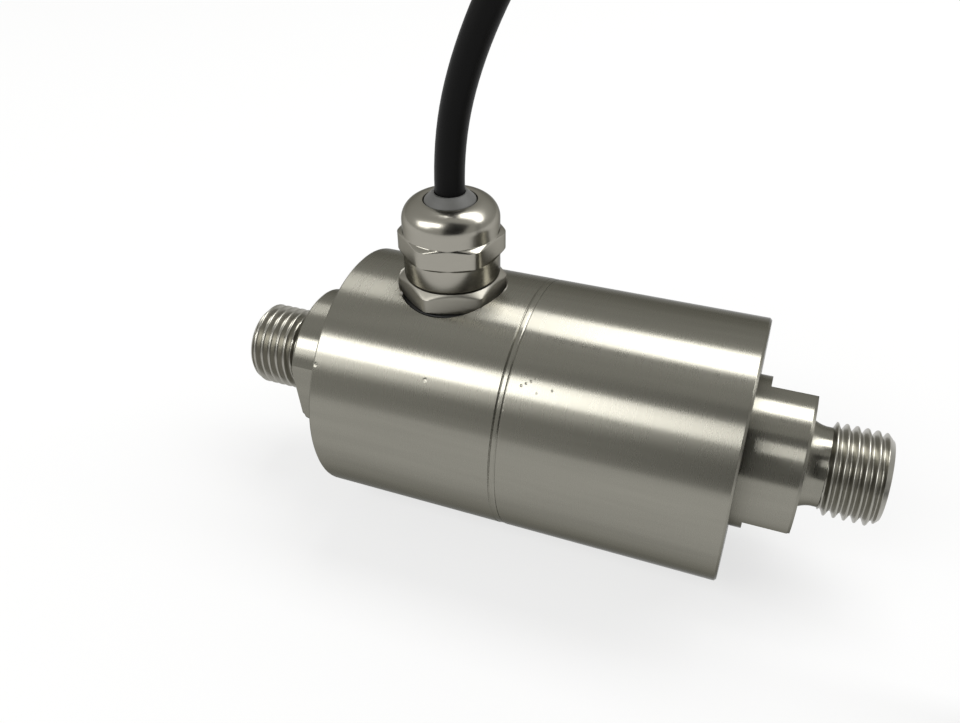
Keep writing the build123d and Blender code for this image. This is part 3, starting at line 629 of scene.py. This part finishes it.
def ferrule_rings(start_x, middle_y, middle_z):
    """Rings of one crimped ferrule: a thin tube with three square crimps."""
    reach, radius, inside = 6.0 * MM, 0.6 * MM, 0.42 * MM
    crimps, crimp_depth, crimp_width = 3, 0.12 * MM, 0.55 * MM
    profile = [(0.0, inside)]
    steps = 60
    for step in range(steps + 1):
        along = reach * step / steps
        nearest = min(abs(along - reach * (index + 1) / (crimps + 1)) for index in range(crimps))
        profile.append((along, radius - crimp_depth * math.exp(-(nearest / crimp_width) ** 4)))
    profile.append((reach, inside))
    angles = around(48)
    return [[Vector((start_x - along, middle_y + r * math.cos(a), middle_z + r * math.sin(a)))
             for a in angles] for along, r in profile]


def tinned_copper():
    """Tinned copper ferrules: soft, greyish metal gloss."""
    base = linear("c9c9c7")
    material, tree, shader = surface("tinned_copper", base, Metallic=1.0, Roughness=0.3)
    mottled(tree, shader, base, 0.08, 0.4 * MM, (1, 1, 1), 0.1, 0.01 * MM)
    return material


def cable_ties(cable):
    """Two nylon ties, one round each long side of the hank."""
    nylon = soft_plastic("nylon_cable_tie", linear("222222"), 0.38, 0.9 * MM, 0.08)
    low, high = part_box("hank_ties")
    middle_x = (low.x + high.x) / 2
    half_width, thickness, gap = cable.tie_width / 2, cable.tie_thickness, 0.1 * MM
    inner_y = cable.fold_radius - cable.diameter / 2 - gap - thickness
    band_top = cable.lift + 2 * cable.diameter + gap + thickness
    band_corner, strap_corner = 1.3 * MM, 0.12 * MM
    points, faces = [], []
    for side in (-1, 1):
        corners = [(side * inner_y, low.z), (side * high.y, low.z), (side * high.y, band_top),
                   (side * inner_y, band_top)]
        loop = rounded([(y, z, band_corner) for y, z in corners], 6)
        centre = sum(loop, Vector((0, 0))) / len(loop)
        strap = ((-half_width, 0), (half_width, 0), (half_width, thickness), (-half_width, thickness))
        section = rounded([(along, deep, strap_corner) for along, deep in strap], 3)
        rings = []
        for place in loop:
            inward = (centre - place).normalized()
            rings.append([Vector((middle_x + along, *(place + inward * deep))) for along, deep in section])
        faces += skin(points, rings)
        middle_y = side * (inner_y + high.y) / 2
        faces += tie_head(points, middle_x, middle_y, band_top - thickness / 2, high.z)
    mesh = mesh_of("cable_ties", points, faces)
    return [placed("cable_ties", mesh, nylon, "tie_nylon", "hank_ties")]


def tie_head(points, middle_x, middle_y, bottom, top):
    """Rounded head of a cable tie, with the hollow that its tail passes through."""
    half_x, half_y, hollow = 1.5 * MM, 2.5 * MM, 0.7 * MM
    levels = [(half_x - shrink * MM, half_y - shrink * MM, 0.5 * MM, height) for shrink, height in (
        (0.25, bottom), (0.0, bottom + 0.2 * MM), (0.0, top - 0.35 * MM), (0.25, top - 0.1 * MM),
        (0.5, top))]
    levels += [(hollow, 2 * hollow, 0.15 * MM, height) for height in (top, bottom)]
    rings = []
    for wide, deep, corner, height in levels:
        loop = rounded([(side_x * wide, side_y * deep, corner)
                        for side_x, side_y in ((-1, -1), (1, -1), (1, 1), (-1, 1))])
        rings.append([Vector((middle_x + x, middle_y + y, height)) for x, y in loop])
    return skin(points, rings)


class BuildHousing(Operator):
    """Build the two shells of the body"""
    bl_idname = "sensor.housing"
    bl_label = "Housing"

    def execute(self, context):
        """Turn both shells and cut the gland's seat into the low side one."""
        sizes = context.scene.sensor_housing
        collar = context.scene.sensor_ports.collar_diameter / 2
        steel = turned_stainless(context.scene.sensor_colours.steel)
        low_side = lathe("low_side_shell", low_shell_rings(sizes, collar), steel, "stainless_body",
                         "housing_low_side")
        # The counterbore's walls get a far lighter steel, as painted light that lifts the shade in the
        # pocket round the gland
        seat_steel_painted_light = cut_stainless("bored_stainless", context.scene.sensor_colours.seat_steel_painted_light, 0.6)
        cut_seat(low_side, sizes, seat_steel_painted_light)
        lathe("high_side_shell", high_shell_rings(sizes, collar), steel, "stainless_body",
              "housing_high_side")
        return {"FINISHED"}


def groove_radius(sizes):
    """Radius function of the groove, which is turned a little off centre and fades out."""
    outside = sizes.diameter / 2
    most, least = 0.9, 0.05

    def radius_at(along, radius, angle):
        if radius >= outside or abs(along - SEAM_X) > sizes.groove_width / 2 + WELD or radius < outside / 2:
            return radius
        degrees = math.degrees((angle + math.pi) % (2 * math.pi) - math.pi)
        faded = sum(math.exp(-((degrees - middle) / width) ** 2) for middle, width in GROOVE_FADES)
        return outside - (outside - radius) * max(least, 1 - most * faded)
    return radius_at


def low_shell_rings(sizes, collar):
    """Rings of the low side shell."""
    outside, soft = sizes.diameter / 2, sizes.edge_round
    groove, bead = outside - sizes.groove_depth, outside - sizes.bead_depth
    bore, spigot = outside - sizes.low_wall, outside - sizes.high_wall - sizes.fit_gap
    hole, inside = collar + sizes.fit_gap, HALF_BODY - sizes.end_wall
    edge, bead_edge = (SEAM_X - sizes.groove_width / 2 * share for share in (1, sizes.bead_share))
    outline = rounded([
        (-HALF_BODY, hole, 0), (-HALF_BODY, outside - sizes.rim_chamfer, soft),
        (-HALF_BODY + sizes.rim_chamfer, outside, soft), (edge, outside, soft), (edge, groove, soft),
        (bead_edge, bead, soft), (SEAM_X, bead, 0), (SEAM_X, spigot, 0), (SEAM_X + sizes.spigot, spigot, 0),
        (SEAM_X + sizes.spigot, bore, 0), (-inside, bore, 0), (-inside, hole, 0),
    ])
    return turned(outline, around(LATHE_COLUMNS), groove_radius(sizes))


def high_shell_rings(sizes, collar):
    """Rings of the high side shell."""
    outside, soft = sizes.diameter / 2, sizes.edge_round
    groove, bead = outside - sizes.groove_depth, outside - sizes.bead_depth
    bore = outside - sizes.high_wall
    hole, inside = collar + sizes.fit_gap, HALF_BODY - sizes.end_wall
    edge, bead_edge = (SEAM_X + sizes.groove_width / 2 * share for share in (1, sizes.bead_share))
    outline = rounded([
        (SEAM_X, bore, 0), (SEAM_X, bead, 0), (bead_edge, bead, soft), (edge, groove, soft),
        (edge, outside, 2 * soft),
        (HALF_BODY - sizes.rim_chamfer, outside, soft), (HALF_BODY, outside - sizes.rim_chamfer, soft),
        (HALF_BODY, hole, 0), (inside, hole, 0), (inside, bore, 0),
    ])
    return turned(outline, around(LATHE_COLUMNS), groove_radius(sizes))


def cut_seat(shell, sizes, steel):
    """Cut the gland's counterbore and threaded hole out of a shell, with walls of their own, lighter steel:
    painted light that lifts the pocket's shade.
    """
    top = AXIS_Z + sizes.diameter / 2
    seat = top - sizes.seat_depth
    wide, hole, rim = sizes.seat_diameter / 2, sizes.gland_hole / 2, sizes.seat_round
    core, over = 0.3 * hole, top + MM
    outline = [Vector(pair) for pair in ((core, AXIS_Z), (hole, AXIS_Z), (hole, seat), (wide, seat))]
    outline += bend(Vector((wide, top - rim)), Vector((wide, top)), Vector((wide + rim, top)),
                    math.sqrt(0.5), 10)
    outline += [Vector((wide + rim, over)), Vector((core, over))]
    points = []
    rings = turned_upright(outline, around(180))
    faces = skin(points, rings, closed=False)
    faces += [list(range(len(rings[0]))), list(range(len(points) - len(rings[0]), len(points)))]
    cutter = bpy.data.objects.new("seat_cutter", mesh_of("seat_cutter", points, faces))
    cutter.data.materials.append(steel)
    bpy.context.scene.collection.objects.link(cutter)
    shell.modifiers.clear()
    cut = shell.modifiers.new("Seat", "BOOLEAN")
    cut.object, cut.solver, cut.operation, cut.material_mode = cutter, "EXACT", "DIFFERENCE", "TRANSFER"
    graph = bpy.context.evaluated_depsgraph_get()
    done = bpy.data.meshes.new_from_object(shell.evaluated_get(graph))
    shell.modifiers.clear()
    shell.data = done
    bpy.data.objects.remove(cutter)
    shade_evenly(shell)


class BuildPorts(Operator):
    """Build the two threaded ports"""
    bl_idname = "sensor.ports"
    bl_label = "Ports"

    def execute(self, context):
        """Turn each port in one piece, with its wrench flats and its pipe thread."""
        sizes = context.scene.sensor_ports
        steel = turned_stainless(context.scene.sensor_colours.steel)
        # The threads get a lighter steel than the body, as painted light against the shade between their
        # flanks
        cut = cut_stainless("thread_cut_stainless", context.scene.sensor_colours.thread_steel_painted_light, 0.3)
        housing = context.scene.sensor_housing
        for side in (-1, 1):
            port(side, sizes, housing, steel, cut)
        return {"FINISHED"}


def port(side, sizes, housing, steel, cut):
    """One port: socket and flange inside, collar, neck and thread outside."""
    label = "high" if side > 0 else "low"
    flats_turn, crest = getattr(sizes, label + "_flats_turn"), getattr(sizes, label + "_crest")
    low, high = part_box("port_" + label)
    reach, end = sorted(side * corner.x for corner in (low, high))
    neck, tip = sizes.neck_diameter / 2, sizes.thread_diameter / 2 - sizes.thread_chamfer
    flat_from = HALF_BODY + sizes.flats_setback
    thread_from = HALF_BODY + sizes.collar_length + sizes.neck_length - sizes.thread_start
    corner_turn = math.acos(sizes.flats_width / sizes.collar_diameter)
    extra = [flats_turn + half * math.pi + sign * corner_turn for half in (0, 1) for sign in (-1, 1)]
    angles = around(LATHE_COLUMNS // 2, *extra)

    def radius_at(along, radius, angle):
        if along <= flat_from + WELD or radius < sizes.flats_width / 2:
            return radius
        return min(radius, sizes.flats_width / 2 / max(1e-6, abs(math.cos(angle - flats_turn))))

    def placed_ring(along, radii):
        return [on_axis(side * along, radius, angle) for radius, angle in zip(radii, angles)]

    points = []
    rings = [placed_ring(end, [tip] * len(angles))]
    for along, radius in port_outline(side, sizes, housing, reach, end, (high.y - low.y) / 2):
        rings.append(placed_ring(along, [radius_at(along, radius, angle) for angle in angles]))
    faces = skin(points, rings, closed=False)
    faces += skin(points, thread_rows(side, sizes, crest, thread_from, end, neck, tip, angles), closed=False,
                  wrapped=False)
    name = label + "_side_port"
    thing = placed(name, mesh_of(name, points, faces), steel, "stainless_body", "port_" + label)
    # The thread's faces take the lighter steel, whose extra lightness is painted light between the flanks
    thing.data.materials.append(cut)
    for face in thing.data.polygons:
        if abs(face.center.x) > thread_from:
            face.material_index = 1


def port_outline(side, sizes, housing, reach, end, flange):
    """Outline of a port along its axis: bore, socket, flange, collar and neck, up to the thread."""
    collar, bore, neck = sizes.collar_diameter / 2, sizes.bore / 2, sizes.neck_diameter / 2
    collar_end = HALF_BODY + sizes.collar_length
    thread_from = collar_end + sizes.neck_length - sizes.thread_start
    inside = HALF_BODY - housing.end_wall
    # Socket round the measuring cell, which no view shows
    socket_floor = reach + 7.0 * MM
    cell, socket = 9.55 * MM, 11.15 * MM
    cavity, cavity_end = 7.7 * MM, socket_floor + 0.8 * MM
    waist, waist_from = 7.0 * MM if side < 0 else socket, socket_floor + 2.0 * MM
    flange_from = inside - 3.0 * MM
    soft = housing.edge_round
    flat_from = HALF_BODY + sizes.flats_setback
    corners = [
        (end, bore + sizes.bore_edge, 0), (end - sizes.bore_edge, bore, 0),
        (cavity_end, bore, 0), (cavity_end, cavity, 0), (socket_floor, cavity, 0), (socket_floor, cell, 0),
        (reach, cell, 0), (reach, socket, 0), (waist_from, socket, 0), (waist_from, waist, 0),
        (flange_from, waist, 0), (flange_from, flange, 0), (inside, flange, 0),
        (inside, collar, 0), (flat_from, collar, 0), (flat_from + 10 * WELD, collar, 0),
        (collar_end - sizes.collar_edge, collar, soft), (collar_end, collar - sizes.collar_edge, soft),
    ]
    outline = rounded(corners)
    flare_top = Vector((collar_end, sizes.flare_diameter / 2))
    flare_end = Vector((collar_end + sizes.flare_length, neck))
    flare_pull = Vector((collar_end + 0.35 * sizes.flare_length, neck + 0.12 * MM))
    outline += bend(flare_top, flare_pull, flare_end, 0.8, 10)
    return outline + [Vector((thread_from, neck))]


def thread_profile(sizes, shift):
    """Radius of the thread at a distance from a crest: straight flanks between round crests and roots."""
    major, pitch = sizes.thread_diameter / 2, sizes.thread_pitch
    away = abs((shift + pitch / 2) % pitch - pitch / 2)
    # Two flanks of a pipe thread enclose 55 degrees
    tilt = math.radians(55) / 2
    rounding = sizes.thread_round
    arc = rounding * math.cos(tilt)
    if away < arc:
        return major - rounding + math.sqrt(rounding ** 2 - away ** 2)
    if away > pitch / 2 - arc:
        minor = major - sizes.thread_depth
        return minor + rounding - math.sqrt(rounding ** 2 - (pitch / 2 - away) ** 2)
    crest_edge = major - rounding + rounding * math.sin(tilt)
    return crest_edge - (away - arc) / math.tan(tilt)


def thread_rows(side, sizes, crest, start, end, start_radius, end_radius, angles):
    """Rows that follow the right hand helix of the thread, held within its two chamfers."""
    pitch = sizes.thread_pitch
    per_pitch = 18
    steep = (sizes.thread_diameter / 2 - start_radius) / sizes.thread_start
    rows = []
    for row in range(-per_pitch, math.ceil((end - start) / pitch * per_pitch) + per_pitch + 1):
        base = start + row * pitch / per_pitch
        form = thread_profile(sizes, base - start - crest)
        ring = []
        for angle in angles + [angles[0] + 2 * math.pi]:
            along = min(end, max(start, base + side * pitch * angle / (2 * math.pi)))
            limit = min(start_radius + (along - start) * steep, end_radius + end - along)
            ring.append(on_axis(side * along, min(form, limit), angle))
        rows.append(ring)
    return rows


class BuildGland(Operator):
    """Build the cable gland"""
    bl_idname = "sensor.gland"
    bl_label = "Gland"

    def execute(self, context):
        """Build the gland body, its gasket, its nut and its seal."""
        sizes = context.scene.sensor_gland
        colours = context.scene.sensor_colours
        satin = nickel_plate("satin_nickel_plated_brass", colours.nickel, 0.45)
        nickel = nickel_plate("nickel_plated_brass", colours.nickel, 0.24)
        lathe("gland_hexagon_body", gland_body_rings(sizes), satin, "nickel_brass", "gland_body")
        lathe("gland_cap_nut", gland_nut_rings(sizes), nickel, "nickel_brass", "gland_nut")
        rubber = soft_plastic("nitrile_gasket", linear("121212"), 0.6, 0.5 * MM, 0.1)
        lathe("gasket", gasket_rings(context.scene.sensor_housing.gland_hole / 2), rubber, "black_gasket",
              "gland_gasket")
        grey = soft_plastic("epdm_seal", colours.seal, 0.55, 0.5 * MM, 0.1)
        lathe("cable_seal", seal_rings(), grey, "grey_seal", "gland_seal")
        return {"FINISHED"}


def gasket_rings(inner):
    """Rings of the flat gasket under the gland, with a rounded outer edge."""
    low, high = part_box("gland_gasket")
    outer = (high.x - low.x) / 2
    outline = rounded([(inner, low.z, 0), (outer, low.z, 0.1 * MM), (outer, high.z, 0.15 * MM),
                       (inner, high.z, 0)])
    return turned_upright(outline, around(180))


def seal_rings():
    """Rings of the rubber seal: a sleeve inside the claw, and a head that slopes up to the cable."""
    low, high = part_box("gland_seal")
    inner, lip, sleeve = 2.15 * MM, 2.5 * MM, 3.4 * MM
    head, head_bottom, head_top = (high.x - low.x) / 2, low.z + 7.15 * MM, high.z - 1.15 * MM
    outline = rounded([(inner, low.z, 0), (sleeve, low.z, 0), (sleeve, head_bottom, 0),
                       (head, head_bottom, 0), (head, head_top, 0.35 * MM), (lip, high.z, 0.15 * MM),
                       (inner, high.z, 0.08 * MM)])
    return turned_upright(outline, around(180))


def soft_least(first, second, blend):
    """Smaller of two radii, with a rounded change from one to the other."""
    return (first + second - math.sqrt((first - second) ** 2 + blend ** 2)) / 2


def hexagon_radius(sizes, facet_turn, limit):
    """Radius function of a hexagon that is turned down to a limit."""
    sector = math.pi / 3

    def radius(angle):
        off = (angle - facet_turn + sector / 2) % sector - sector / 2
        return soft_least(sizes.hex_width / 2 / math.cos(off), limit, sizes.edge_blend)
    return radius


def chamfer_limit(sizes, corners, upper, height, bottom, top):
    """Radius that the lower and the upper chamfer leave at a height between the two ends of a hexagon."""
    face, corner = sizes.face_diameter / 2, corners / 2
    return min(corner, face + (corner - face) * (height - bottom) / sizes.chamfer_height,
               face + (corner - face) * (top - height) / upper)


def gland_body_rings(sizes):
    """Rings of the gland body: thread in the seat, hexagon, and stem inside the nut."""
    low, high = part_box("gland_body")
    hex_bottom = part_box("gland_gasket")[1].z
    hex_top = hex_bottom + sizes.body_hex_height
    thread, thread_chamfer, stem = 6.0 * MM, 0.5 * MM, 5.8 * MM
    bore, claw_bore, claw_z = 3.1 * MM, 4.9 * MM, hex_top + 2.2 * MM
    steps = 34
    outline = [(thread - thread_chamfer, low.z), (thread, low.z + thread_chamfer), (thread, hex_bottom)]
    for step in range(steps + 1):
        height = hex_bottom + (hex_top - hex_bottom) * step / steps
        limit = chamfer_limit(sizes, sizes.body_corners, sizes.body_chamfer, height, hex_bottom, hex_top)
        outline.append((hexagon_radius(sizes, sizes.body_turn, limit), height))
    outline += [(stem, hex_top), (stem, high.z), (claw_bore, high.z), (claw_bore, claw_z), (bore, claw_z),
                (bore, low.z)]
    return turned_upright(outline, around(LATHE_COLUMNS))


def hexagon_on_skirt(hexagon, skirt):
    """Radius function of a hexagon that stands out of a round skirt, with a small fillet between them."""
    return lambda angle: -soft_least(-hexagon(angle), -skirt, 0.05 * MM)


def gland_nut_rings(sizes):
    """Rings of the cap nut: skirt, chamfered hexagon and dome outside, bores inside."""
    low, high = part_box("gland_nut")
    skirt, soft = sizes.nut_skirt / 2, 0.25 * MM
    hex_bottom = low.z + sizes.nut_hex_start
    hex_top = hex_bottom + sizes.nut_hex_height
    shoulder = high.z - sizes.dome_height
    opening = sizes.opening / 2
    rim = opening + sizes.opening_chamfer
    outline = [(skirt - soft, low.z), (skirt - 0.3 * soft, low.z + 0.3 * soft), (skirt, low.z + soft)]
    steps, past = 44, 0.1 * MM
    for step in range(steps + 1):
        height = hex_bottom - past + (hex_top - hex_bottom + 2 * past) * step / steps
        limit = chamfer_limit(sizes, sizes.nut_corners, sizes.chamfer_height, height, hex_bottom, hex_top)
        outline.append((hexagon_on_skirt(hexagon_radius(sizes, sizes.nut_turn, limit), skirt), height))
    # The dome is an arc that leaves the skirt upright and ends at the rim of the opening
    drop, width = high.z - shoulder, skirt - rim
    arc = (drop ** 2 + width ** 2) / (2 * width)
    last, dome_steps = math.asin(drop / arc), 24
    for step in range(dome_steps + 1):
        angle = last * step / dome_steps
        outline.append((skirt - arc + arc * math.cos(angle), shoulder + arc * math.sin(angle)))
    # Rounded rim of the opening, and under it the bore, the cone that presses the claw and the thread
    edge, chamfer_end = 0.05 * MM, high.z - sizes.opening_chamfer
    head_top, cone_bottom, thread_top = (AXIS_Z + height * MM for height in (30.15, 28.65, 27.1))
    cone, thread = 4.95 * MM, 5.85 * MM
    outline += [(rim - edge, high.z - 0.3 * edge), (opening + edge, chamfer_end + edge),
                (opening, chamfer_end - edge), (opening, head_top), (cone, cone_bottom),
                (thread, thread_top), (thread, low.z)]
    return turned_upright(outline, around(LATHE_COLUMNS))


class DressInside(Operator):
    """Give the pieces inside the body their finishes"""
    bl_idname = "sensor.inside"
    bl_label = "Inner pieces"

    def execute(self, context):
        """Give each node that stays as built the finish of its own material."""
        finishes = inner_finishes(context.scene.sensor_colours)
        hidden = {node for piece in bpy.data.objects for node in piece.get("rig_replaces", [])}
        slots = {row["node"]: row["material_slot"] for row in frame["record"]["subparts"]}
        for node, thing in frame["nodes"].items():
            if node in hidden:
                continue
            for place in thing.material_slots:
                place.material = finishes[slots[node]]
        return {"FINISHED"}


def metal(name, code, roughness, size, spread=0.05, bump=0.06, **values):
    """Bare or plated metal with faint working marks of a real size."""
    base = linear(code)
    material, tree, shader = surface(name, base, Metallic=1.0, Roughness=roughness, **values)
    mottled(tree, shader, base, spread, size, (1, 6, 6), bump, 0.005 * MM)
    return material


def glass(name, code, roughness, ior):
    """Glass that is seen through, a little uneven."""
    base = linear(code)
    material, tree, shader = surface(name, base, Roughness=roughness, IOR=ior, Transmission_Weight=0.9)
    mottled(tree, shader, base, 0.05, 0.4 * MM)
    return material


def laminate():
    """Glass fibre laminate under green solder resist: the weave shows faintly through the gloss."""
    base = linear("1d5b35")
    material, tree, shader = surface("fibreglass_laminate_green_resist", base, Roughness=0.3,
                                     Coat_Weight=0.4, Coat_Roughness=0.12)
    place = add(tree, "ShaderNodeTexCoord").outputs["Object"]
    # Yarns of glass cloth, drawn wider apart than real ones so that they show: every 3.14 mm.
    # At a scale of 1, the wave texture turns by 20 radians a metre
    spacing = math.pi * MM
    yarns = [add(tree, "ShaderNodeTexWave", {"bands_direction": direction}, Vector=place,
                 Scale=2 * math.pi / 20 / spacing, Distortion=0.4) for direction in ("X", "Y")]
    weave = add(tree, "ShaderNodeMath", {"operation": "MULTIPLY"}, _0=yarns[0].outputs["Fac"],
                _1=yarns[1].outputs["Fac"])
    mix = add(tree, "ShaderNodeMix", {"data_type": "RGBA"}, Factor=weave.outputs[0], _6=shade(base, 0.85),
              _7=shade(base, 1.25))
    tree.links.new(mix.outputs[2], shader.inputs["Base Color"])
    return material


def inner_finishes(colours):
    """Finish of each material slot of the pieces that no view from outside shows."""
    finishes = {
        # Turned stainless of the cell: finer than the body, with rings round its axis
        "cell_steel": metal("fine_turned_stainless", "b9b9b4", 0.25, 0.15 * MM),
        # Rolled foil: bright and even
        "diaphragm_foil": metal("rolled_stainless_foil", "c9c9c6", 0.15, 0.5 * MM, 0.02, 0.02),
        # Bearing balls: polished
        "steel_balls": metal("polished_ball_steel", "b4b4b4", 0.06, 0.3 * MM, 0.02, 0.01),
        # Gold plating on the pins: warm and bright
        "gold_pins": metal("gold_plated_kovar", "dcb45a", 0.2, 0.2 * MM),
        # Zinc plated screws: pale, slightly clouded
        "screw_steel": metal("zinc_plated_steel", "bfc2c6", 0.3, 0.3 * MM, 0.08),
        # Fused glass round the pins: bottle green
        "bead_glass": glass("fused_sealing_glass", "3f6b60", 0.08, 1.5),
        # Ground block of borosilicate glass: clear inside, frosted on its faces
        "pedestal_glass": glass("ground_borosilicate", "e0e8e8", 0.35, 1.47),
        # Polished silicon: dark, bluish and mirror bright
        "silicon": metal("polished_silicon", "6e7078", 0.08, 0.3 * MM, 0.02, 0.0),
        "board_laminate": laminate(),
        # Epoxy of the chips, moulded: fine matt grain
        "chip_plastic": soft_plastic("moulded_epoxy", linear("1f1f20"), 0.6, 0.12 * MM, 0.2),
        # Fired ceramic of the capacitors: tan and smooth
        "capacitor_ceramic": soft_plastic("fired_ceramic", linear("a98d69"), 0.45, 0.1 * MM, 0.05),
        # Saddle under the board, moulded in pale plastic
        "carrier_plastic": soft_plastic("moulded_pbt", linear("d8d6cc"), 0.45, 0.6 * MM, 0.08),
        # Claw of the gland, moulded: grey polyamide
        "claw_nylon": soft_plastic("polyamide_claw", linear("9a9c9f"), 0.4, 0.6 * MM, 0.08,
                                   Subsurface_Weight=0.1, Subsurface_Scale=MM),
        # O-rings: matt nitrile rubber
        "o_ring_rubber": soft_plastic("nitrile_o_ring", linear("161616"), 0.55, 0.3 * MM, 0.08),
    }
    finishes.update({name + "_insulation": insulation(name, colours) for name in LEADS})
    return finishes


# Stage

class BuildStage(Operator):
    """Set up the camera, the lamps and the floor"""
    bl_idname = "sensor.stage"
    bl_label = "Stage"

    def execute(self, context):
        """Camera of the photograph, plain pale floor and soft studio light."""
        scene, stage = context.scene, context.scene.sensor_stage
        scene.view_settings.view_transform = "Standard"
        camera = bpy.data.objects.new("camera", bpy.data.cameras.new("camera"))
        scene.collection.objects.link(camera)
        camera.data.lens, camera.data.sensor_width = stage.lens, 36.0
        camera.data.clip_start = 0.005
        eye, aim = Vector(stage.eye), Vector(stage.aim)
        facing = (aim - eye).to_track_quat("-Z", "Y").to_matrix().to_4x4()
        camera.matrix_world = Matrix.Translation(eye) @ facing @ Matrix.Rotation(stage.roll, 4, "Z")
        scene.camera = camera
        world = bpy.data.worlds.new("studio")
        world.use_nodes = True
        world.node_tree.nodes["Background"].inputs["Color"].default_value = stage.surround
        scene.world = world
        floor(stage)
        for settings in LAMPS:
            lamp(*settings)
        # A card over the right half gives the body and collar their darker stretch on that side
        dark_card(54.0, 70.0, (0.05, 1.3))
        return {"FINISHED"}


def floor(stage):
    """Pale floor: partly plain white, for the camera and for what metal reflects, and partly lit."""
    half = 3.0
    corners = [(-half, -half, 0), (half, -half, 0), (half, half, 0), (-half, half, 0)]
    mesh = bpy.data.meshes.new("floor")
    mesh.from_pydata(corners, [], [(0, 1, 2, 3)])
    thing = bpy.data.objects.new("floor", mesh)
    bpy.context.scene.collection.objects.link(thing)
    material = bpy.data.materials.new("matt_white_board")
    material.use_nodes = True
    tree = material.node_tree
    tree.nodes.clear()
    path = add(tree, "ShaderNodeLightPath").outputs
    seen = add(tree, "ShaderNodeMath", {"operation": "ADD"}, _0=path["Is Camera Ray"],
               _1=path["Is Glossy Ray"])
    shown = add(tree, "ShaderNodeMath", {"operation": "ADD", "use_clamp": True}, _0=seen.outputs[0],
                _1=path["Is Transmission Ray"])
    share = add(tree, "ShaderNodeMath", {"operation": "MULTIPLY"}, _0=shown.outputs[0], _1=stage.glow)
    # The lit part keeps the object's shadow
    lit = add(tree, "ShaderNodeBsdfDiffuse", Color=stage.floor)
    plain = add(tree, "ShaderNodeEmission", Color=linear("ffffff"), Strength=1.0)
    both = add(tree, "ShaderNodeMixShader", _0=share.outputs[0], _1=lit.outputs[0], _2=plain.outputs[0])
    add(tree, "ShaderNodeOutputMaterial", Surface=both.outputs[0])
    mesh.materials.append(material)


def facing_body(thing, tilt, spread, reach):
    """Put a thing a metre from the body, facing it, by degrees from the top to the front; gives its size."""
    bpy.context.scene.collection.objects.link(thing)
    direction = Vector((0, -math.sin(math.radians(tilt)), math.cos(math.radians(tilt))))
    across = Vector((1, 0, 0))
    facing = Matrix((across, direction.cross(across), direction)).transposed().to_4x4()
    middle = Vector(((reach[0] + reach[1]) / 2, 0, AXIS_Z)) + direction
    thing.matrix_world = Matrix.Translation(middle) @ facing
    thing.visible_camera = False
    return reach[1] - reach[0], 2 * math.tan(math.radians(spread / 2))


def lamp(name, tilt, spread, reach, radiance):
    """Long area lamp that faces the body."""
    data = bpy.data.lights.new(name, "AREA")
    data.shape = "RECTANGLE"
    data.size, data.size_y = facing_body(bpy.data.objects.new(name, data), tilt, spread, reach)
    data.energy = radiance * math.pi * data.size * data.size_y


def dark_card(tilt, spread, reach):
    """Black card behind and beside the camera, which only the metal's reflections show."""
    mesh = bpy.data.meshes.new("dark_card")
    thing = bpy.data.objects.new("dark_card", mesh)
    half_long, half_wide = (size / 2 for size in facing_body(thing, tilt, spread, reach))
    corners = [(-half_long, -half_wide, 0), (half_long, -half_wide, 0), (half_long, half_wide, 0),
               (-half_long, half_wide, 0)]
    mesh.from_pydata(corners, [], [(0, 1, 2, 3)])
    mesh.materials.append(surface("black_velvet_card", linear("0a0a0a"), Roughness=1.0)[0])
    thing.visible_diffuse = thing.visible_shadow = False


class SensorPanel(Panel):
    """Panel that lists the steps and their settings"""
    bl_idname = "VIEW3D_PT_sensor"
    bl_label = "Pressure sensor"
    bl_space_type = "VIEW_3D"
    bl_region_type = "UI"
    bl_category = "Sensor"

    def draw(self, context):
        """One button for each step, then the settings of each group."""
        for operator in OPERATORS:
            self.layout.operator(operator.bl_idname)
        for group in SETTINGS:
            box = self.layout.box()
            settings = getattr(context.scene, group)
            for name in settings.bl_rna.properties.keys():
                if name not in ("rna_type", "name"):
                    box.prop(settings, name)


OPERATORS = (BuildStage, BuildCable, BuildHousing, BuildPorts, BuildGland, DressInside)


def register():
    """Register the settings, the steps and the panel."""
    for group in SETTINGS.values():
        bpy.utils.register_class(group)
    for name, group in SETTINGS.items():
        setattr(bpy.types.Scene, name, PointerProperty(type=group))
    for operator in OPERATORS:
        bpy.utils.register_class(operator)
    bpy.utils.register_class(SensorPanel)


def unregister():
    """Take everything out again, in reverse."""
    bpy.utils.unregister_class(SensorPanel)
    for operator in reversed(OPERATORS):
        bpy.utils.unregister_class(operator)
    for name, group in reversed(SETTINGS.items()):
        delattr(bpy.types.Scene, name)
        bpy.utils.unregister_class(group)


def main():
    """Build everything in order."""
    register()
    for operator in OPERATORS:
        group, name = operator.bl_idname.split(".")
        getattr(getattr(bpy.ops, group), name)()


if __name__ == "__main__":
    main()
